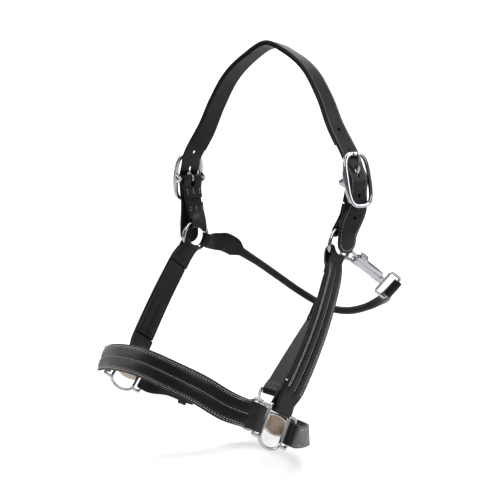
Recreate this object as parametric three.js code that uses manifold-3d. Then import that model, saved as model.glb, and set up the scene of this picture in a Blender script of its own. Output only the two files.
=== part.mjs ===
/*
 * A horse's leather headcollar, hanging from the poll as it does on the horse.
 *
 * Millimetres, +Z up. The origin is the poll: the underside of the headpiece at its highest point.
 * +X is the horse's left (the near side), -X its right (the off side), and -Y points at the nose.
 *
 * Every strap is a swept section. A strap's route is a list of stations, and each station holds the
 * point on the middle of the leather, the direction across the strap, and the direction its outer
 * face looks in. Where a strap is sewn round a ring or a bar, it runs past the metal, turns back
 * behind it, and ends as a second ply against its own inner face.
 */
import * as THREE from "three";
import { mergeVertices } from "three/addons/utils/BufferGeometryUtils.js";
import Module from "manifold-3d";

const wasm = await Module();
wasm.setup();

const V = (x, y, z) => new THREE.Vector3(x, y, z);

// ---------------------------------------------------------------- driving dimensions

const GAP = 0.35; // left between two solids that touch on the real object
const SEAM = 0.75; // between a strap and its lining
const PLAY = 0.5; // between a wire and the leather or metal that turns round it

const STRAP_WIDTH = 25;
const STRAP_THICK = 3;
const FOLD_WIDTH = 22.4; // a strap is narrowed where it passes through a slot
const RING_FOLD = 20; // and where it turns round a ring
const LOOSE = 0.7; // extra room for a turn on a curved wire
const LINING_THICK = 3.6;
const LINING_INSET = 1; // the lining is this much narrower on each edge
const CHEEK_LINING_FROM = 24.5; // a cheek's lining starts and ends this far from its metal
const NOSE_LINING = { from: 26, to: 42 };
const TAIL = 25; // length of the ply that is turned back and sewn down
const TURN_STEPS = 6;
const LEAD = 7; // a strap runs straight this far from the metal it holds

const STAY_THICK = 2.4;
const CROWN_LINING_THICK = 1.8;
const NOSEBAND_WIDTH = 25;
const CHIN_WIDTH = 21;
const CHIN_FOLD = 20;
const JOWL_WIDTH = 20;
const JOWL_AT = 18; // how far the jowl strap hangs to the near side of the middle
const LASH_RADIUS = 4.8;
const TAB_WIDTH = 24; // the throat lash's flat end on the off ring
const TAB_FOLD = 16;
const EYE_STRAP_WIDTH = 20; // and its flat end in the snap's eye

const RING_RADIUS = 16; // to the middle of the wire
const RING_WIRE = 2.1;
const LEAD_RING_RADIUS = 17;

const BUCKLE = { width: 39, length: 57, corner: 12, wire: 4.6, bar: 1.9, barDrop: 6.5, play: 2.0 };
const TONGUE_WIRE = 1.3;
const TONGUE_SLOT = { width: 5.4, past: 9, centre: 6.5, depth: 12 }; // cut in a stay for its tongue
const TIP = 11; // length of a billet's rounded end
const HOLE = { radius: 2, pitch: 24, first: 8, each: 2, depth: 12 }; // `each` on both sides of the used one
const USED_HOLE = { wider: 1.15, longer: 3.4 }; // the hole the tongue is through has drawn out into a slot
const CROWN_LINING_REACH = 148; // the crown lining ends this far down each side of the poll

const FITTING = { reach: 23.3, inner: 14, slot: 12, top: 16.4, bulge: 6, wire: 3.2 };
const PLATE = { thick: 2.2, half: 6.6, crown: 2.4, raised: 1.4 };

const DEE = { bar: 22, depth: 23.5, wire: 1.8 };
const SNAP = { radius: 4.8, front: 10, rear: 58, hook: 6.8, hookWire: 1.9 };
const RAIL = { height: 5.8, radius: 2.9, bore: 2.15, rear: 52 };
const BOLT = { radius: 1.8, tip: -1.7, rear: 23, neck: 1.6, thumb: [7.2, 11, 3.4] };
const SPRING = { radius: 1.4, wire: 0.35, turns: 6, perTurn: 7, from: 24, to: 47.8 };
const POST = { radius: 2.1, head: 3.2, headFrom: 51, headTo: 54, play: 0.4 };
const EYE = { width: 24, depth: 14, wire: 3.2, near: 61.2 };
const KEEPER = { length: 9, wall: 1.4, play: 0.9, at: 47 };

// Each side's hardware: where it sits and how it is turned by the pull of its straps. The billet's tip
// hangs `tipBack` behind the side ring, and the cheekpiece bows outwards by `cheekBow`.
const SIDES = [
  {
    name: "near",
    sign: 1,
    ring: { centre: V(96, -21, -205), back: V(0.29, 0.957, 0) },
    buckle: { centre: V(110, -12, -140), bar: V(0.33, 0.94, 0.04), up: V(-0.2, 0, 0.98) },
    fitting: { centre: V(91, -142, -354.5), back: V(0.26, 0.784, -0.564), down: V(-0.08, -0.564, -0.821) },
    tipBack: -5,
    cheekBow: 7,
  },
  {
    name: "off",
    sign: -1,
    ring: { centre: V(-89, -20, -209), back: V(0.34, 0.94, 0) },
    buckle: { centre: V(-105, -12, -140), bar: V(0.33, 0.943, 0.04), up: V(0.2, 0, 0.98) },
    fitting: { centre: V(-92, -134.5, -340), back: V(0.32, 0.715, -0.621), down: V(-0.12, -0.62, -0.775) },
    tipBack: 0,
    cheekBow: 3,
  },
];

const LEAD_RING = { centre: V(5, -42, -399.5), axis: V(0.899, -0.438, 0) };
const DEE_BAR = {
  centre: V(11, -14.5, -380.5),
  along: V(0.943, 0.227, -0.176),
  down: V(0.09, -0.815, -0.575),
};
const SNAP_AXIS = V(0.347, 0.761, -0.547).normalize();
const SNAP_THUMB = V(0.94, -0.09, 0.47);
const EYE_ACROSS = V(0.563, 0.308, 0.784);

// ---------------------------------------------------------------- materials and assembly

const MATERIALS = {
  leather: new THREE.MeshStandardMaterial({ color: 0x17171a, roughness: 0.45, metalness: 0 }),
  lining: new THREE.MeshStandardMaterial({ color: 0x1d1d20, roughness: 0.6, metalness: 0 }),
  metal: new THREE.MeshStandardMaterial({ color: 0xc9c9cd, roughness: 0.12, metalness: 1 }),
  plate: new THREE.MeshStandardMaterial({ color: 0xa08c78, roughness: 0.3, metalness: 1 }),
  spring: new THREE.MeshStandardMaterial({ color: 0x8a8c90, roughness: 0.3, metalness: 1 }),
};

const headcollar = new THREE.Group();

function addMesh(name, geometry, material, placement = new THREE.Matrix4()) {
  const mesh = new THREE.Mesh(geometry, MATERIALS[material]);
  mesh.name = name;
  mesh.applyMatrix4(placement);
  headcollar.add(mesh);
  return mesh;
}

// ---------------------------------------------------------------- vectors and solids

/** The part of `v` that is perpendicular to the unit vector `axis`, made unit length. */
function across(v, axis) {
  return v.clone().addScaledVector(axis, -v.dot(axis)).normalize();
}

/** `start` plus any number of vector, length pairs. */
function offset(start, ...steps) {
  const point = start.clone();
  for (let i = 0; i < steps.length; i += 2) point.addScaledVector(steps[i], steps[i + 1]);
  return point;
}

/** A placement at `centre`, with x along `x`, y as near to `y` as it can be, and z = x cross y. */
function frameAt(centre, x, y) {
  const ex = x.clone().normalize();
  const ey = across(y, ex);
  const ez = ex.clone().cross(ey);
  return new THREE.Matrix4().makeBasis(ex, ey, ez).setPosition(centre);
}

function toSolid(geometry) {
  const bare = geometry.clone();
  bare.deleteAttribute("normal");
  bare.deleteAttribute("uv");
  const merged = mergeVertices(bare, 1e-4);
  const mesh = new wasm.Mesh({
    numProp: 3,
    vertProperties: merged.attributes.position.array,
    triVerts: new Uint32Array(merged.index.array),
  });
  return new wasm.Manifold(mesh);
}

function toGeometry(solid) {
  const mesh = solid.getMesh();
  const geometry = new THREE.BufferGeometry();
  geometry.setAttribute("position", new THREE.BufferAttribute(new Float32Array(mesh.vertProperties), 3));
  geometry.setIndex(new THREE.BufferAttribute(new Uint32Array(mesh.triVerts), 1));
  geometry.computeVertexNormals();
  return geometry;
}

/** The first geometry joined with, or cut by, the others. */
function join(first, ...others) {
  return toGeometry(others.reduce((solid, other) => solid.add(toSolid(other)), toSolid(first)));
}

function cut(first, ...others) {
  return toGeometry(others.reduce((solid, other) => solid.subtract(toSolid(other)), toSolid(first)));
}

/** A rounded rectangle, as a Shape or as a Path for a hole. */
function roundedRectangle(Kind, x0, y0, x1, y1, r) {
  const path = new Kind();
  path.moveTo(x0 + r, y0);
  path.lineTo(x1 - r, y0);
  path.absarc(x1 - r, y0 + r, r, -Math.PI / 2, 0, false);
  path.lineTo(x1, y1 - r);
  path.absarc(x1 - r, y1 - r, r, 0, Math.PI / 2, false);
  path.lineTo(x0 + r, y1);
  path.absarc(x0 + r, y1 - r, r, Math.PI / 2, Math.PI, false);
  path.lineTo(x0, y0 + r);
  path.absarc(x0 + r, y0 + r, r, Math.PI, 1.5 * Math.PI, false);
  return path;
}

/** A flat casting of the given thickness with softened edges, centred on z = 0. */
function casting(shape, thickness, soft, curveSegments) {
  const geometry = new THREE.ExtrudeGeometry(shape, {
    depth: thickness - 2 * soft,
    bevelThickness: soft,
    bevelSize: soft,
    bevelOffset: -soft,
    bevelSegments: 1,
    curveSegments,
  });
  return geometry.translate(0, 0, soft - thickness / 2);
}

// ---------------------------------------------------------------- straps

/** A route through stations; the frames carry the strap's half width and half thickness. */
class StrapPath extends THREE.Curve {
  constructor(stations) {
    super();
    this.stations = stations;
  }

  getPoint(t, target = V(0, 0, 0)) {
    const at = t * (this.stations.length - 1);
    const i = Math.min(Math.floor(at), this.stations.length - 2);
    return target.lerpVectors(this.stations[i].point, this.stations[i + 1].point, at - i);
  }

  getSpacedPoints() {
    return this.stations.map((s) => s.point.clone());
  }

  computeFrenetFrames() {
    return {
      tangents: this.stations.map((s) => s.across.clone().cross(s.out)),
      normals: this.stations.map((s) => s.across.clone().multiplyScalar(s.width / 2)),
      binormals: this.stations.map((s) => s.out.clone().multiplyScalar(s.thick / 2)),
    };
  }
}

/** A flat section, its two faces divided at the given places across the width. */
function flatSection(places) {
  const under = places.map((x) => new THREE.Vector2(x, -1));
  const over = places.map((x) => new THREE.Vector2(x, 1)).reverse();
  return new THREE.Shape([...under, ...over]);
}

const FLAT_SECTION = flatSection([-1, 1]);
const BENDING_SECTION = flatSection([-1, -0.6, 0, 0.6, 1]);

/** A section with this many sides, round where width equals thickness, turned by a share of a side. */
function roundSection(sides, turn = 0) {
  const points = Array.from({ length: sides }, (_, i) => {
    const angle = (2 * Math.PI * (i + turn)) / sides;
    return new THREE.Vector2(Math.cos(angle), Math.sin(angle));
  });
  return new THREE.Shape(points);
}

/** A section carried along stations, and scaled by each one's half width and half thickness. */
function sweep(stations, section = FLAT_SECTION) {
  return new THREE.ExtrudeGeometry(section, {
    steps: stations.length - 1,
    extrudePath: new StrapPath(stations),
  });
}

/** How a strap holds a wire: the directions along the wire, up the strap and out of its outer face. */
function grip(wire, along, towards, outside, wireRadius, thick = STRAP_THICK, width = STRAP_WIDTH) {
  const axis = along.clone().normalize();
  const away = across(towards, axis);
  const out = away.clone().cross(axis);
  if (out.dot(outside) < 0) out.negate();
  const radius = wireRadius + PLAY + thick / 2;
  return { wire, axis, away, out, radius, thick, width, start: offset(wire, out, radius) };
}

/** Bends the end of a strap so that its turn follows a round ring instead of a straight bar. */
function followRing(geometry, hold, inside) {
  const [bent, straight] = [3, 18];
  const at = geometry.attributes.position;
  const point = V(0, 0, 0);
  for (let i = 0; i < at.count; i++) {
    point.fromBufferAttribute(at, i).sub(hold.wire);
    const sideways = point.dot(hold.axis);
    const share = 1 - THREE.MathUtils.smoothstep(point.dot(hold.away), bent, straight);
    if (share === 0) continue;
    const drop = inside - Math.sqrt(Math.max(inside * inside - sideways * sideways, 0));
    point.addScaledVector(hold.away, -drop * share).add(hold.wire);
    at.setXYZ(i, point.x, point.y, point.z);
  }
  return geometry;
}

/** A strap's stations through the given rows, its outer face turned to the rows' own `out` hints. */
function strapRun(rows, thick, perSpan = 4) {
  const curve = new THREE.CatmullRomCurve3(
    rows.map((r) => r.at),
    false,
    "centripetal",
  );
  const spans = rows.length - 1;
  return Array.from({ length: spans * perSpan + 1 }, (_, i) => {
    const t = i / (spans * perSpan);
    const row = Math.min(Math.floor(t * spans), spans - 1);
    const share = t * spans - row;
    const tangent = curve.getTangent(t);
    const out = across(rows[row].out.clone().lerp(rows[row + 1].out, share), tangent);
    return {
      point: curve.getPoint(t),
      across: out.clone().cross(tangent).normalize(),
      out,
      width: THREE.MathUtils.lerp(rows[row].width, rows[row + 1].width, share),
      thick: THREE.MathUtils.lerp(rows[row].thick ?? thick, rows[row + 1].thick ?? thick, share),
    };
  });
}

/** Distances along a run, station by station. */
function distances(run) {
  const along = [0];
  for (let i = 1; i < run.length; i++) along.push(along[i - 1] + run[i].point.distanceTo(run[i - 1].point));
  return along;
}

/** The station at a distance along a run. */
function stationAt(run, distance) {
  const along = distances(run);
  let i = 1;
  while (i < run.length - 1 && along[i] < distance) i++;
  const share = (distance - along[i - 1]) / (along[i] - along[i - 1]);
  const [a, b] = [run[i - 1], run[i]];
  return {
    point: a.point.clone().lerp(b.point, share),
    across: a.across.clone().lerp(b.across, share).normalize(),
    out: a.out.clone().lerp(b.out, share).normalize(),
    width: THREE.MathUtils.lerp(a.width, b.width, share),
    thick: THREE.MathUtils.lerp(a.thick, b.thick, share),
  };
}

/** The part of a run between two distances, with stations of its own at both ends. */
function slice(run, from, to) {
  const along = distances(run);
  const inside = run.filter((_, i) => along[i] > from + 1 && along[i] < to - 1);
  return [stationAt(run, from), ...inside, stationAt(run, to)];
}

/** The turn round a wire and the ply sewn down behind it, from the run's first station outwards. */
function turnBack(run, hold, tail) {
  const stations = [];
  const side = run[0].across;
  for (let i = 1; i <= TURN_STEPS; i++) {
    const angle = (Math.PI * i) / TURN_STEPS;
    const out = offset(V(0, 0, 0), hold.out, Math.cos(angle), hold.away, -Math.sin(angle));
    stations.push({
      point: offset(hold.wire, out, hold.radius),
      across: side,
      out,
      width: hold.width,
      thick: hold.thick,
    });
  }
  const closed = hold.thick + GAP;
  const blend = 3.5 * hold.radius;
  const steps = [0.25, 0.5, 0.75, 1].map((k) => k * blend);
  const inner = distances(run).filter((s) => s > blend + 2 && s < tail - 2);
  for (const s of [...steps, ...inner, tail]) {
    const at = stationAt(run, s);
    const ease = THREE.MathUtils.smoothstep(s, 0, blend);
    const depth = THREE.MathUtils.lerp(2 * hold.radius, closed, ease);
    stations.push({
      point: offset(at.point, at.out, -depth),
      across: at.across,
      out: at.out.clone().negate(),
      width: at.width,
      thick: hold.thick,
    });
  }
  return stations;
}

/** A strap between two holds: its run, and all its stations with the turned ends. */
function heldStrap(from, via, to, { perSpan = 4, tail = TAIL, toTail = tail } = {}) {
  const lead = (hold) => [
    { at: hold.start, out: hold.out, width: hold.width },
    { at: offset(hold.start, hold.away, LEAD), out: hold.out, width: hold.width },
  ];
  const rows = [...lead(from), ...via, ...lead(to).reverse()];
  const run = strapRun(rows, from.thick, perSpan);
  const backwards = [...run].reverse();
  const stations = [...turnBack(run, from, tail).reverse(), ...run, ...turnBack(backwards, to, toTail)];
  return { run, stations };
}

/** A lining sewn to the inner face of a run, between two distances. */
function liningOf(run, from, to, thick) {
  return slice(run, from, to).map((s) => ({
    ...s,
    point: offset(s.point, s.out, -(s.thick / 2 + SEAM + thick / 2)),
    width: s.width - 2 * LINING_INSET,
    thick,
  }));
}

const row = (at, out, width = STRAP_WIDTH, thick = undefined) => ({ at, out, width, thick });

/** Narrows the last stations of a run to a rounded tip. */
function roundTip(run, length) {
  const along = distances(run);
  const total = along[along.length - 1];
  const body = slice(run, 0, total - length);
  const tip = [0.35, 0.6, 0.8, 0.93, 0.99].map((k) => {
    const station = stationAt(run, total - length + length * k);
    return { ...station, width: station.width * Math.sqrt(1 - k * k) };
  });
  return [...body, ...tip];
}

// ---------------------------------------------------------------- side rings

for (const side of SIDES) {
  const { centre, back } = side.ring;
  side.ring.up = V(0, 0, 1);
  side.ring.back = back.clone().normalize();
  side.ring.point = (angle) => {
    const [x, z] = [RING_RADIUS * Math.cos(angle), RING_RADIUS * Math.sin(angle)];
    return offset(centre, side.ring.back, x, side.ring.up, z);
  };
  side.ring.tangent = (angle) =>
    offset(V(0, 0, 0), side.ring.back, -Math.sin(angle), side.ring.up, Math.cos(angle));
  const ring = new THREE.TorusGeometry(RING_RADIUS, RING_WIRE, 8, 28);
  addMesh(`${side.name}_side_ring`, ring, "metal", frameAt(centre, side.ring.back, side.ring.up));
}

// ---------------------------------------------------------------- buckles

/** A frame with rounded ends, and below it a bar carried on two ears; x along the bar, y up, z out. */
function buckleFrame() {
  const { width, length, corner, wire, bar, barDrop } = BUCKLE;
  const shape = roundedRectangle(THREE.Shape, -width / 2, -length / 2, width / 2, length / 2, corner);
  const [hx, hy] = [width / 2 - wire, length / 2 - wire];
  shape.holes.push(roundedRectangle(THREE.Path, -hx, -hy, hx, hy, corner - wire + 1));
  const frame = casting(shape, wire, 1.2, 5);
  const rail = width / 2 - wire / 2;
  const ears = [-rail, rail].map((x) =>
    new THREE.BoxGeometry(wire - 1, 7, barDrop + bar).translate(x, 0, -(barDrop + bar) / 2),
  );
  const pin = new THREE.CylinderGeometry(bar, bar, 2 * rail, 12);
  pin.rotateZ(Math.PI / 2).translate(0, 0, -barDrop);
  return join(frame, ...ears, pin);
}

/** The tongue's wire, from its eye round the bar to its tip on the top of the frame. */
function buckleTongue() {
  const eye = BUCKLE.bar + PLAY + TONGUE_WIRE;
  const points = [];
  for (let i = 0; i <= 10; i++) {
    const angle = 0.2 * Math.PI - (1.55 * Math.PI * i) / 10;
    points.push(V(0, eye * Math.cos(angle), -BUCKLE.barDrop + eye * Math.sin(angle)));
  }
  points.reverse();
  points.push(V(0, 6, -1), V(0, 10, 2.4), V(0, 17, 4.2), V(0, 24, 4.7), V(0, 28.5, 4.5));
  const stations = strapRun(
    points.map((at) => row(at, V(1, 0, 0), 2 * TONGUE_WIRE)),
    2 * TONGUE_WIRE,
    2,
  );
  return sweep(stations, roundSection(6));
}

for (const side of SIDES) {
  const { centre, bar, up } = side.buckle;
  const along = bar.clone().normalize();
  side.buckle.along = along;
  side.buckle.up = across(up, along);
  side.buckle.out = along.clone().cross(side.buckle.up);
  if (side.buckle.out.x * side.sign < 0) side.buckle.out.negate();
  const x = side.buckle.up.clone().cross(side.buckle.out);
  side.buckle.frame = frameAt(centre, x, side.buckle.up);
  side.buckle.barCentre = offset(centre, side.buckle.out, -BUCKLE.barDrop);
  addMesh(`${side.name}_buckle_frame`, buckleFrame(), "metal", side.buckle.frame);
  addMesh(`${side.name}_buckle_tongue`, buckleTongue(), "metal", side.buckle.frame);
}

// ---------------------------------------------------------------- stays: side ring to buckle

const INSIDE_RING = RING_RADIUS - RING_WIRE - 2 * PLAY;

for (const side of SIDES) {
  const { buckle, ring } = side;
  const angle = Math.atan2(0.98, 0.19);
  const upper = grip(
    buckle.barCentre,
    buckle.along,
    ring.centre.clone().sub(buckle.barCentre),
    buckle.out,
    BUCKLE.bar,
    STAY_THICK,
  );
  const lower = grip(
    ring.point(angle),
    ring.tangent(angle),
    buckle.barCentre.clone().sub(ring.centre),
    buckle.out,
    RING_WIRE + LOOSE,
    STAY_THICK,
    RING_FOLD,
  );
  const stay = heldStrap(upper, [], lower, { perSpan: 3, tail: 22 });
  const slotLength = 2 * upper.radius + TONGUE_SLOT.past;
  const slot = new THREE.BoxGeometry(TONGUE_SLOT.width, slotLength, TONGUE_SLOT.depth);
  slot.translate(0, TONGUE_SLOT.centre - slotLength / 2, 0);
  slot.applyMatrix4(frameAt(buckle.barCentre, buckle.along, upper.away.clone().negate()));
  const leather = followRing(sweep(stay.stations, BENDING_SECTION), lower, INSIDE_RING);
  addMesh(`${side.name}_stay`, cut(leather, slot), "leather");
}

// ---------------------------------------------------------------- headpiece

/** The crown's centre line on one side, from the poll down to the billet's tip. */
function crownRows(side) {
  const { buckle, ring, sign, tipBack } = side;
  const crown = [
    [27, -1, -8, 0.35],
    [50, -2.5, -27, 0.62],
    [69, -4.5, -57, 0.85],
    [82, -7, -85, 0.91],
  ];
  const fullTwist = Math.atan2(buckle.along.x, buckle.along.y);
  const rows = crown.map(([x, y, z, lean], i) => {
    const twist = (fullTwist * (i + 1)) / (crown.length + 1);
    const out = V(sign * lean * Math.cos(twist), -sign * lean * Math.sin(twist), 1 - lean);
    return row(V(sign * x, y, z), out);
  });
  const clear = BUCKLE.wire / 2 + BUCKLE.play + STRAP_THICK / 2;
  const throughBuckle = [
    [26, -clear],
    [13, -clear + 3.2],
    [0, 0.4],
    [-13, -clear + 3.2],
    [-26, -clear + 0.4],
  ];
  for (const [up, out] of throughBuckle) {
    rows.push(row(offset(buckle.centre, buckle.up, up, buckle.out, out), buckle.out));
  }
  const besideRing = [
    [10.2, 1 + tipBack, 14],
    [9, tipBack, -8],
  ];
  for (const [x, y, z] of besideRing) {
    rows.push(row(ring.centre.clone().add(V(sign * x, y, z)), buckle.out));
  }
  return rows;
}

const pollHeight = CROWN_LINING_THICK + SEAM + STRAP_THICK / 2;
const crownTop = row(V(0, 0, pollHeight), V(0, 0, 1));
const crownRun = strapRun(
  [...crownRows(SIDES[1]).reverse(), crownTop, ...crownRows(SIDES[0])],
  STRAP_THICK,
  4,
);
const crownTotal = distances(crownRun).at(-1);
const tipped = roundTip(roundTip(crownRun, TIP).reverse(), TIP).reverse();

/** The distance along the crown at which it passes over a side's buckle bar. */
function overBar(side) {
  const along = distances(crownRun);
  const nearest = crownRun
    .map((s, i) => [s.point.distanceTo(side.buckle.centre), along[i]])
    .sort((a, b) => a[0] - b[0])[0];
  return nearest[1];
}

const holes = [];
for (const side of SIDES) {
  for (let i = -HOLE.each; i <= HOLE.each; i++) {
    const upwards = i * HOLE.pitch + HOLE.first;
    const station = stationAt(crownRun, overBar(side) - side.sign * upwards);
    const hole = new THREE.CylinderGeometry(HOLE.radius, HOLE.radius, HOLE.depth, 8);
    if (i === 0) hole.scale(USED_HOLE.wider, 1, USED_HOLE.longer);
    holes.push(hole.applyMatrix4(frameAt(station.point, station.across, station.out)));
  }
}
addMesh("headpiece", cut(sweep(tipped), ...holes), "leather");

const crownMiddle = crownTotal / 2;
const crownLining = liningOf(
  crownRun,
  crownMiddle - CROWN_LINING_REACH,
  crownMiddle + CROWN_LINING_REACH,
  CROWN_LINING_THICK,
);
addMesh("headpiece_lining", sweep(crownLining), "lining");

// ---------------------------------------------------------------- noseband fittings

/** A flat frame with a narrow slot at each end and a rounded opening between; x back, y up, z out. */
function fittingFrame() {
  const { reach, inner, slot, top, bulge, wire } = FITTING;
  const h = wire / 2;
  const outer = new THREE.Shape();
  const corner = 3.4;
  outer.moveTo(-reach - h + corner, -slot - wire);
  outer.lineTo(-inner - h, -slot - wire);
  outer.quadraticCurveTo(-inner + 2, -slot - wire - bulge, 0, -slot - wire - bulge);
  outer.quadraticCurveTo(inner - 2, -slot - wire - bulge, inner + h, -slot - wire);
  outer.lineTo(reach + h - corner, -slot - wire);
  outer.absarc(reach + h - corner, -slot - wire + corner, corner, -Math.PI / 2, 0, false);
  outer.lineTo(reach + h, slot + wire - corner);
  outer.absarc(reach + h - corner, slot + wire - corner, corner, 0, Math.PI / 2, false);
  outer.lineTo(inner + h, slot + wire);
  outer.lineTo(inner, top + h);
  outer.lineTo(-inner, top + h);
  outer.lineTo(-inner - h, slot + wire);
  outer.lineTo(-reach - h + corner, slot + wire);
  outer.absarc(-reach - h + corner, slot + wire - corner, corner, Math.PI / 2, Math.PI, false);
  outer.lineTo(-reach - h, -slot - wire + corner);
  outer.absarc(-reach - h + corner, -slot - wire + corner, corner, Math.PI, 1.5 * Math.PI, false);
  for (const sign of [-1, 1]) {
    const [a, b] = [sign * (inner + h), sign * (reach - h)];
    outer.holes.push(roundedRectangle(THREE.Path, Math.min(a, b), -slot, Math.max(a, b), slot, 1.6));
  }
  const middle = new THREE.Path();
  middle.moveTo(-inner + h, -slot);
  middle.quadraticCurveTo(-inner + 4, -slot - bulge, 0, -slot - bulge);
  middle.quadraticCurveTo(inner - 4, -slot - bulge, inner - h, -slot);
  middle.lineTo(inner - h, top - h);
  middle.lineTo(-inner + h, top - h);
  outer.holes.push(middle);
  return casting(outer, wire, 0.7, 3);
}

/** A barrel-shaped plate between the fitting's inner bars. */
function fittingPlate() {
  const { thick, half, crown, raised } = PLATE;
  const x = FITTING.inner - FITTING.wire / 2 - GAP;
  const shape = new THREE.Shape();
  shape.moveTo(-x, -half);
  shape.quadraticCurveTo(0, -half - 2 * crown, x, -half);
  shape.lineTo(x, half);
  shape.quadraticCurveTo(0, half + 2 * crown, -x, half);
  return casting(shape, thick, 0.4, 8).translate(0, raised, 0);
}

for (const side of SIDES) {
  const fitting = side.fitting;
  fitting.back.normalize();
  fitting.up = across(fitting.down, fitting.back).negate();
  fitting.out = fitting.back.clone().cross(fitting.up);
  fitting.outward = fitting.out.clone().multiplyScalar(Math.sign(fitting.out.x) * side.sign);
  const placement = frameAt(fitting.centre, fitting.back, fitting.up);
  addMesh(`${side.name}_fitting`, fittingFrame(), "metal", placement);
  addMesh(`${side.name}_fitting_plate`, fittingPlate(), "plate", placement);
}

// ---------------------------------------------------------------- cheekpieces: side ring to fitting

for (const side of SIDES) {
  const { ring, fitting } = side;
  const towards = offset(fitting.centre, fitting.up, FITTING.top).sub(ring.centre);
  const inPlane = Math.atan2(towards.z, towards.dot(ring.back));
  const outside = V(side.sign, 0, 0);
  const wire = ring.point(inPlane);
  const upper = grip(
    wire,
    ring.tangent(inPlane),
    towards,
    outside,
    RING_WIRE + LOOSE,
    STRAP_THICK,
    RING_FOLD,
  );
  const topBar = offset(fitting.centre, fitting.up, FITTING.top);
  const lower = grip(
    topBar,
    fitting.back,
    towards.clone().negate(),
    fitting.outward,
    FITTING.wire / 2,
    STRAP_THICK,
    FOLD_WIDTH,
  );
  const via = [0.12, 0.5, 0.87].map((share) => {
    const at = upper.start.clone().lerp(lower.start, share);
    const bow = 4 * side.cheekBow * share * (1 - share);
    return row(at.addScaledVector(outside, bow), upper.out.clone().lerp(lower.out, share));
  });
  const cheek = heldStrap(upper, via, lower, { perSpan: 3, tail: 23 });
  const total = distances(cheek.run).at(-1);
  const leather = followRing(sweep(cheek.stations, BENDING_SECTION), upper, INSIDE_RING);
  addMesh(`${side.name}_cheekpiece`, leather, "leather");
  const lining = liningOf(cheek.run, CHEEK_LINING_FROM, total - CHEEK_LINING_FROM, LINING_THICK);
  addMesh(`${side.name}_cheek_lining`, sweep(lining), "lining");
}

// ---------------------------------------------------------------- noseband

const frontBar = (side) => offset(side.fitting.centre, side.fitting.back, -FITTING.reach);
const rearBar = (side) => offset(side.fitting.centre, side.fitting.back, FITTING.reach);

{
  const [near, off] = SIDES;
  const from = grip(
    frontBar(near),
    near.fitting.up,
    V(-0.25, -0.75, 0.55),
    near.fitting.outward,
    FITTING.wire / 2,
    STRAP_THICK,
    FOLD_WIDTH,
  );
  const to = grip(
    frontBar(off),
    off.fitting.up,
    V(0.05, -0.75, 0.55),
    off.fitting.outward,
    FITTING.wire / 2,
    STRAP_THICK,
    FOLD_WIDTH,
  );
  const via = [
    row(V(71, -187, -324), V(0.62, -0.68, 0.38), NOSEBAND_WIDTH),
    row(V(52, -199, -310), V(0.35, -0.83, 0.43), NOSEBAND_WIDTH),
    row(V(30, -206, -301), V(0.15, -0.88, 0.45), NOSEBAND_WIDTH),
    row(V(-5, -206, -295), V(-0.05, -0.88, 0.45), NOSEBAND_WIDTH),
    row(V(-40, -197, -299), V(-0.25, -0.86, 0.43), NOSEBAND_WIDTH),
    row(V(-70, -184, -307.5), V(-0.45, -0.8, 0.4), NOSEBAND_WIDTH),
    row(V(-88, -174, -315), V(-0.85, -0.45, 0.27), NOSEBAND_WIDTH),
  ];
  const noseband = heldStrap(from, via, to, { perSpan: 4, tail: 24, toTail: 13 });
  const total = distances(noseband.run).at(-1);
  const noseLining = liningOf(noseband.run, NOSE_LINING.from, total - NOSE_LINING.to, LINING_THICK);
  addMesh("noseband", sweep(noseband.stations), "leather");
  addMesh("noseband_lining", sweep(noseLining), "lining");
}

// ---------------------------------------------------------------- chin strap and keeper

{
  const [near, off] = SIDES;
  const bar = FITTING.wire / 2;
  const rearGrip = (side, towards) =>
    grip(rearBar(side), side.fitting.up, towards, side.fitting.outward, bar, STRAP_THICK, CHIN_FOLD);
  const from = rearGrip(off, V(0.8, 0.45, -0.3));
  const to = rearGrip(near, V(-0.05, 0.85, -0.5));
  const via = [
    row(V(-64, -104, -360), V(-0.5, 0.83, 0.1), CHIN_WIDTH),
    row(V(-45, -92, -369), V(-0.5, 0.83, 0.1), CHIN_WIDTH),
    row(V(-26, -77, -378), V(-0.5, 0.83, 0.1), CHIN_WIDTH),
    row(V(-9, -50, -396), V(-0.6, 0.8, 0), CHIN_WIDTH),
    row(V(5, -42, -400), V(-0.4, 0.9, 0), CHIN_WIDTH),
    row(V(16, -40, -402), V(-0.15, 0.98, 0), CHIN_WIDTH),
    row(V(34, -39, -404), V(-0.05, 0.99, 0), CHIN_WIDTH),
    row(V(57, -42, -403), V(0.3, 0.95, 0), CHIN_WIDTH),
    row(V(79, -56, -398), V(0.6, 0.75, 0), CHIN_WIDTH),
    row(V(91, -80, -388), V(0.95, 0.3, 0), CHIN_WIDTH),
  ];
  const chin = heldStrap(from, via, to, { perSpan: 2, tail: 58, toTail: 20 });
  addMesh("chin_strap", sweep(chin.stations), "leather");

  const at = stationAt(chin.run, KEEPER.at);
  const stack = 2 * STRAP_THICK + GAP + KEEPER.play;
  const breadth = CHIN_WIDTH + 2 * KEEPER.play;
  const outside = new THREE.BoxGeometry(breadth + 2 * KEEPER.wall, stack + 2 * KEEPER.wall, KEEPER.length);
  const inside = new THREE.BoxGeometry(breadth, stack, 2 * KEEPER.length);
  const middle = offset(at.point, at.out, -(STRAP_THICK + GAP) / 2);
  addMesh("chin_keeper", cut(outside, inside), "leather", frameAt(middle, at.across, at.out));
}

// ---------------------------------------------------------------- lead ring and jowl dee

{
  const across0 = V(0, 0, 1).cross(LEAD_RING.axis);
  const ring = new THREE.TorusGeometry(LEAD_RING_RADIUS, RING_WIRE, 8, 28);
  addMesh("lead_ring", ring, "metal", frameAt(LEAD_RING.centre, across0, V(0, 0, 1)));
}

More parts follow.
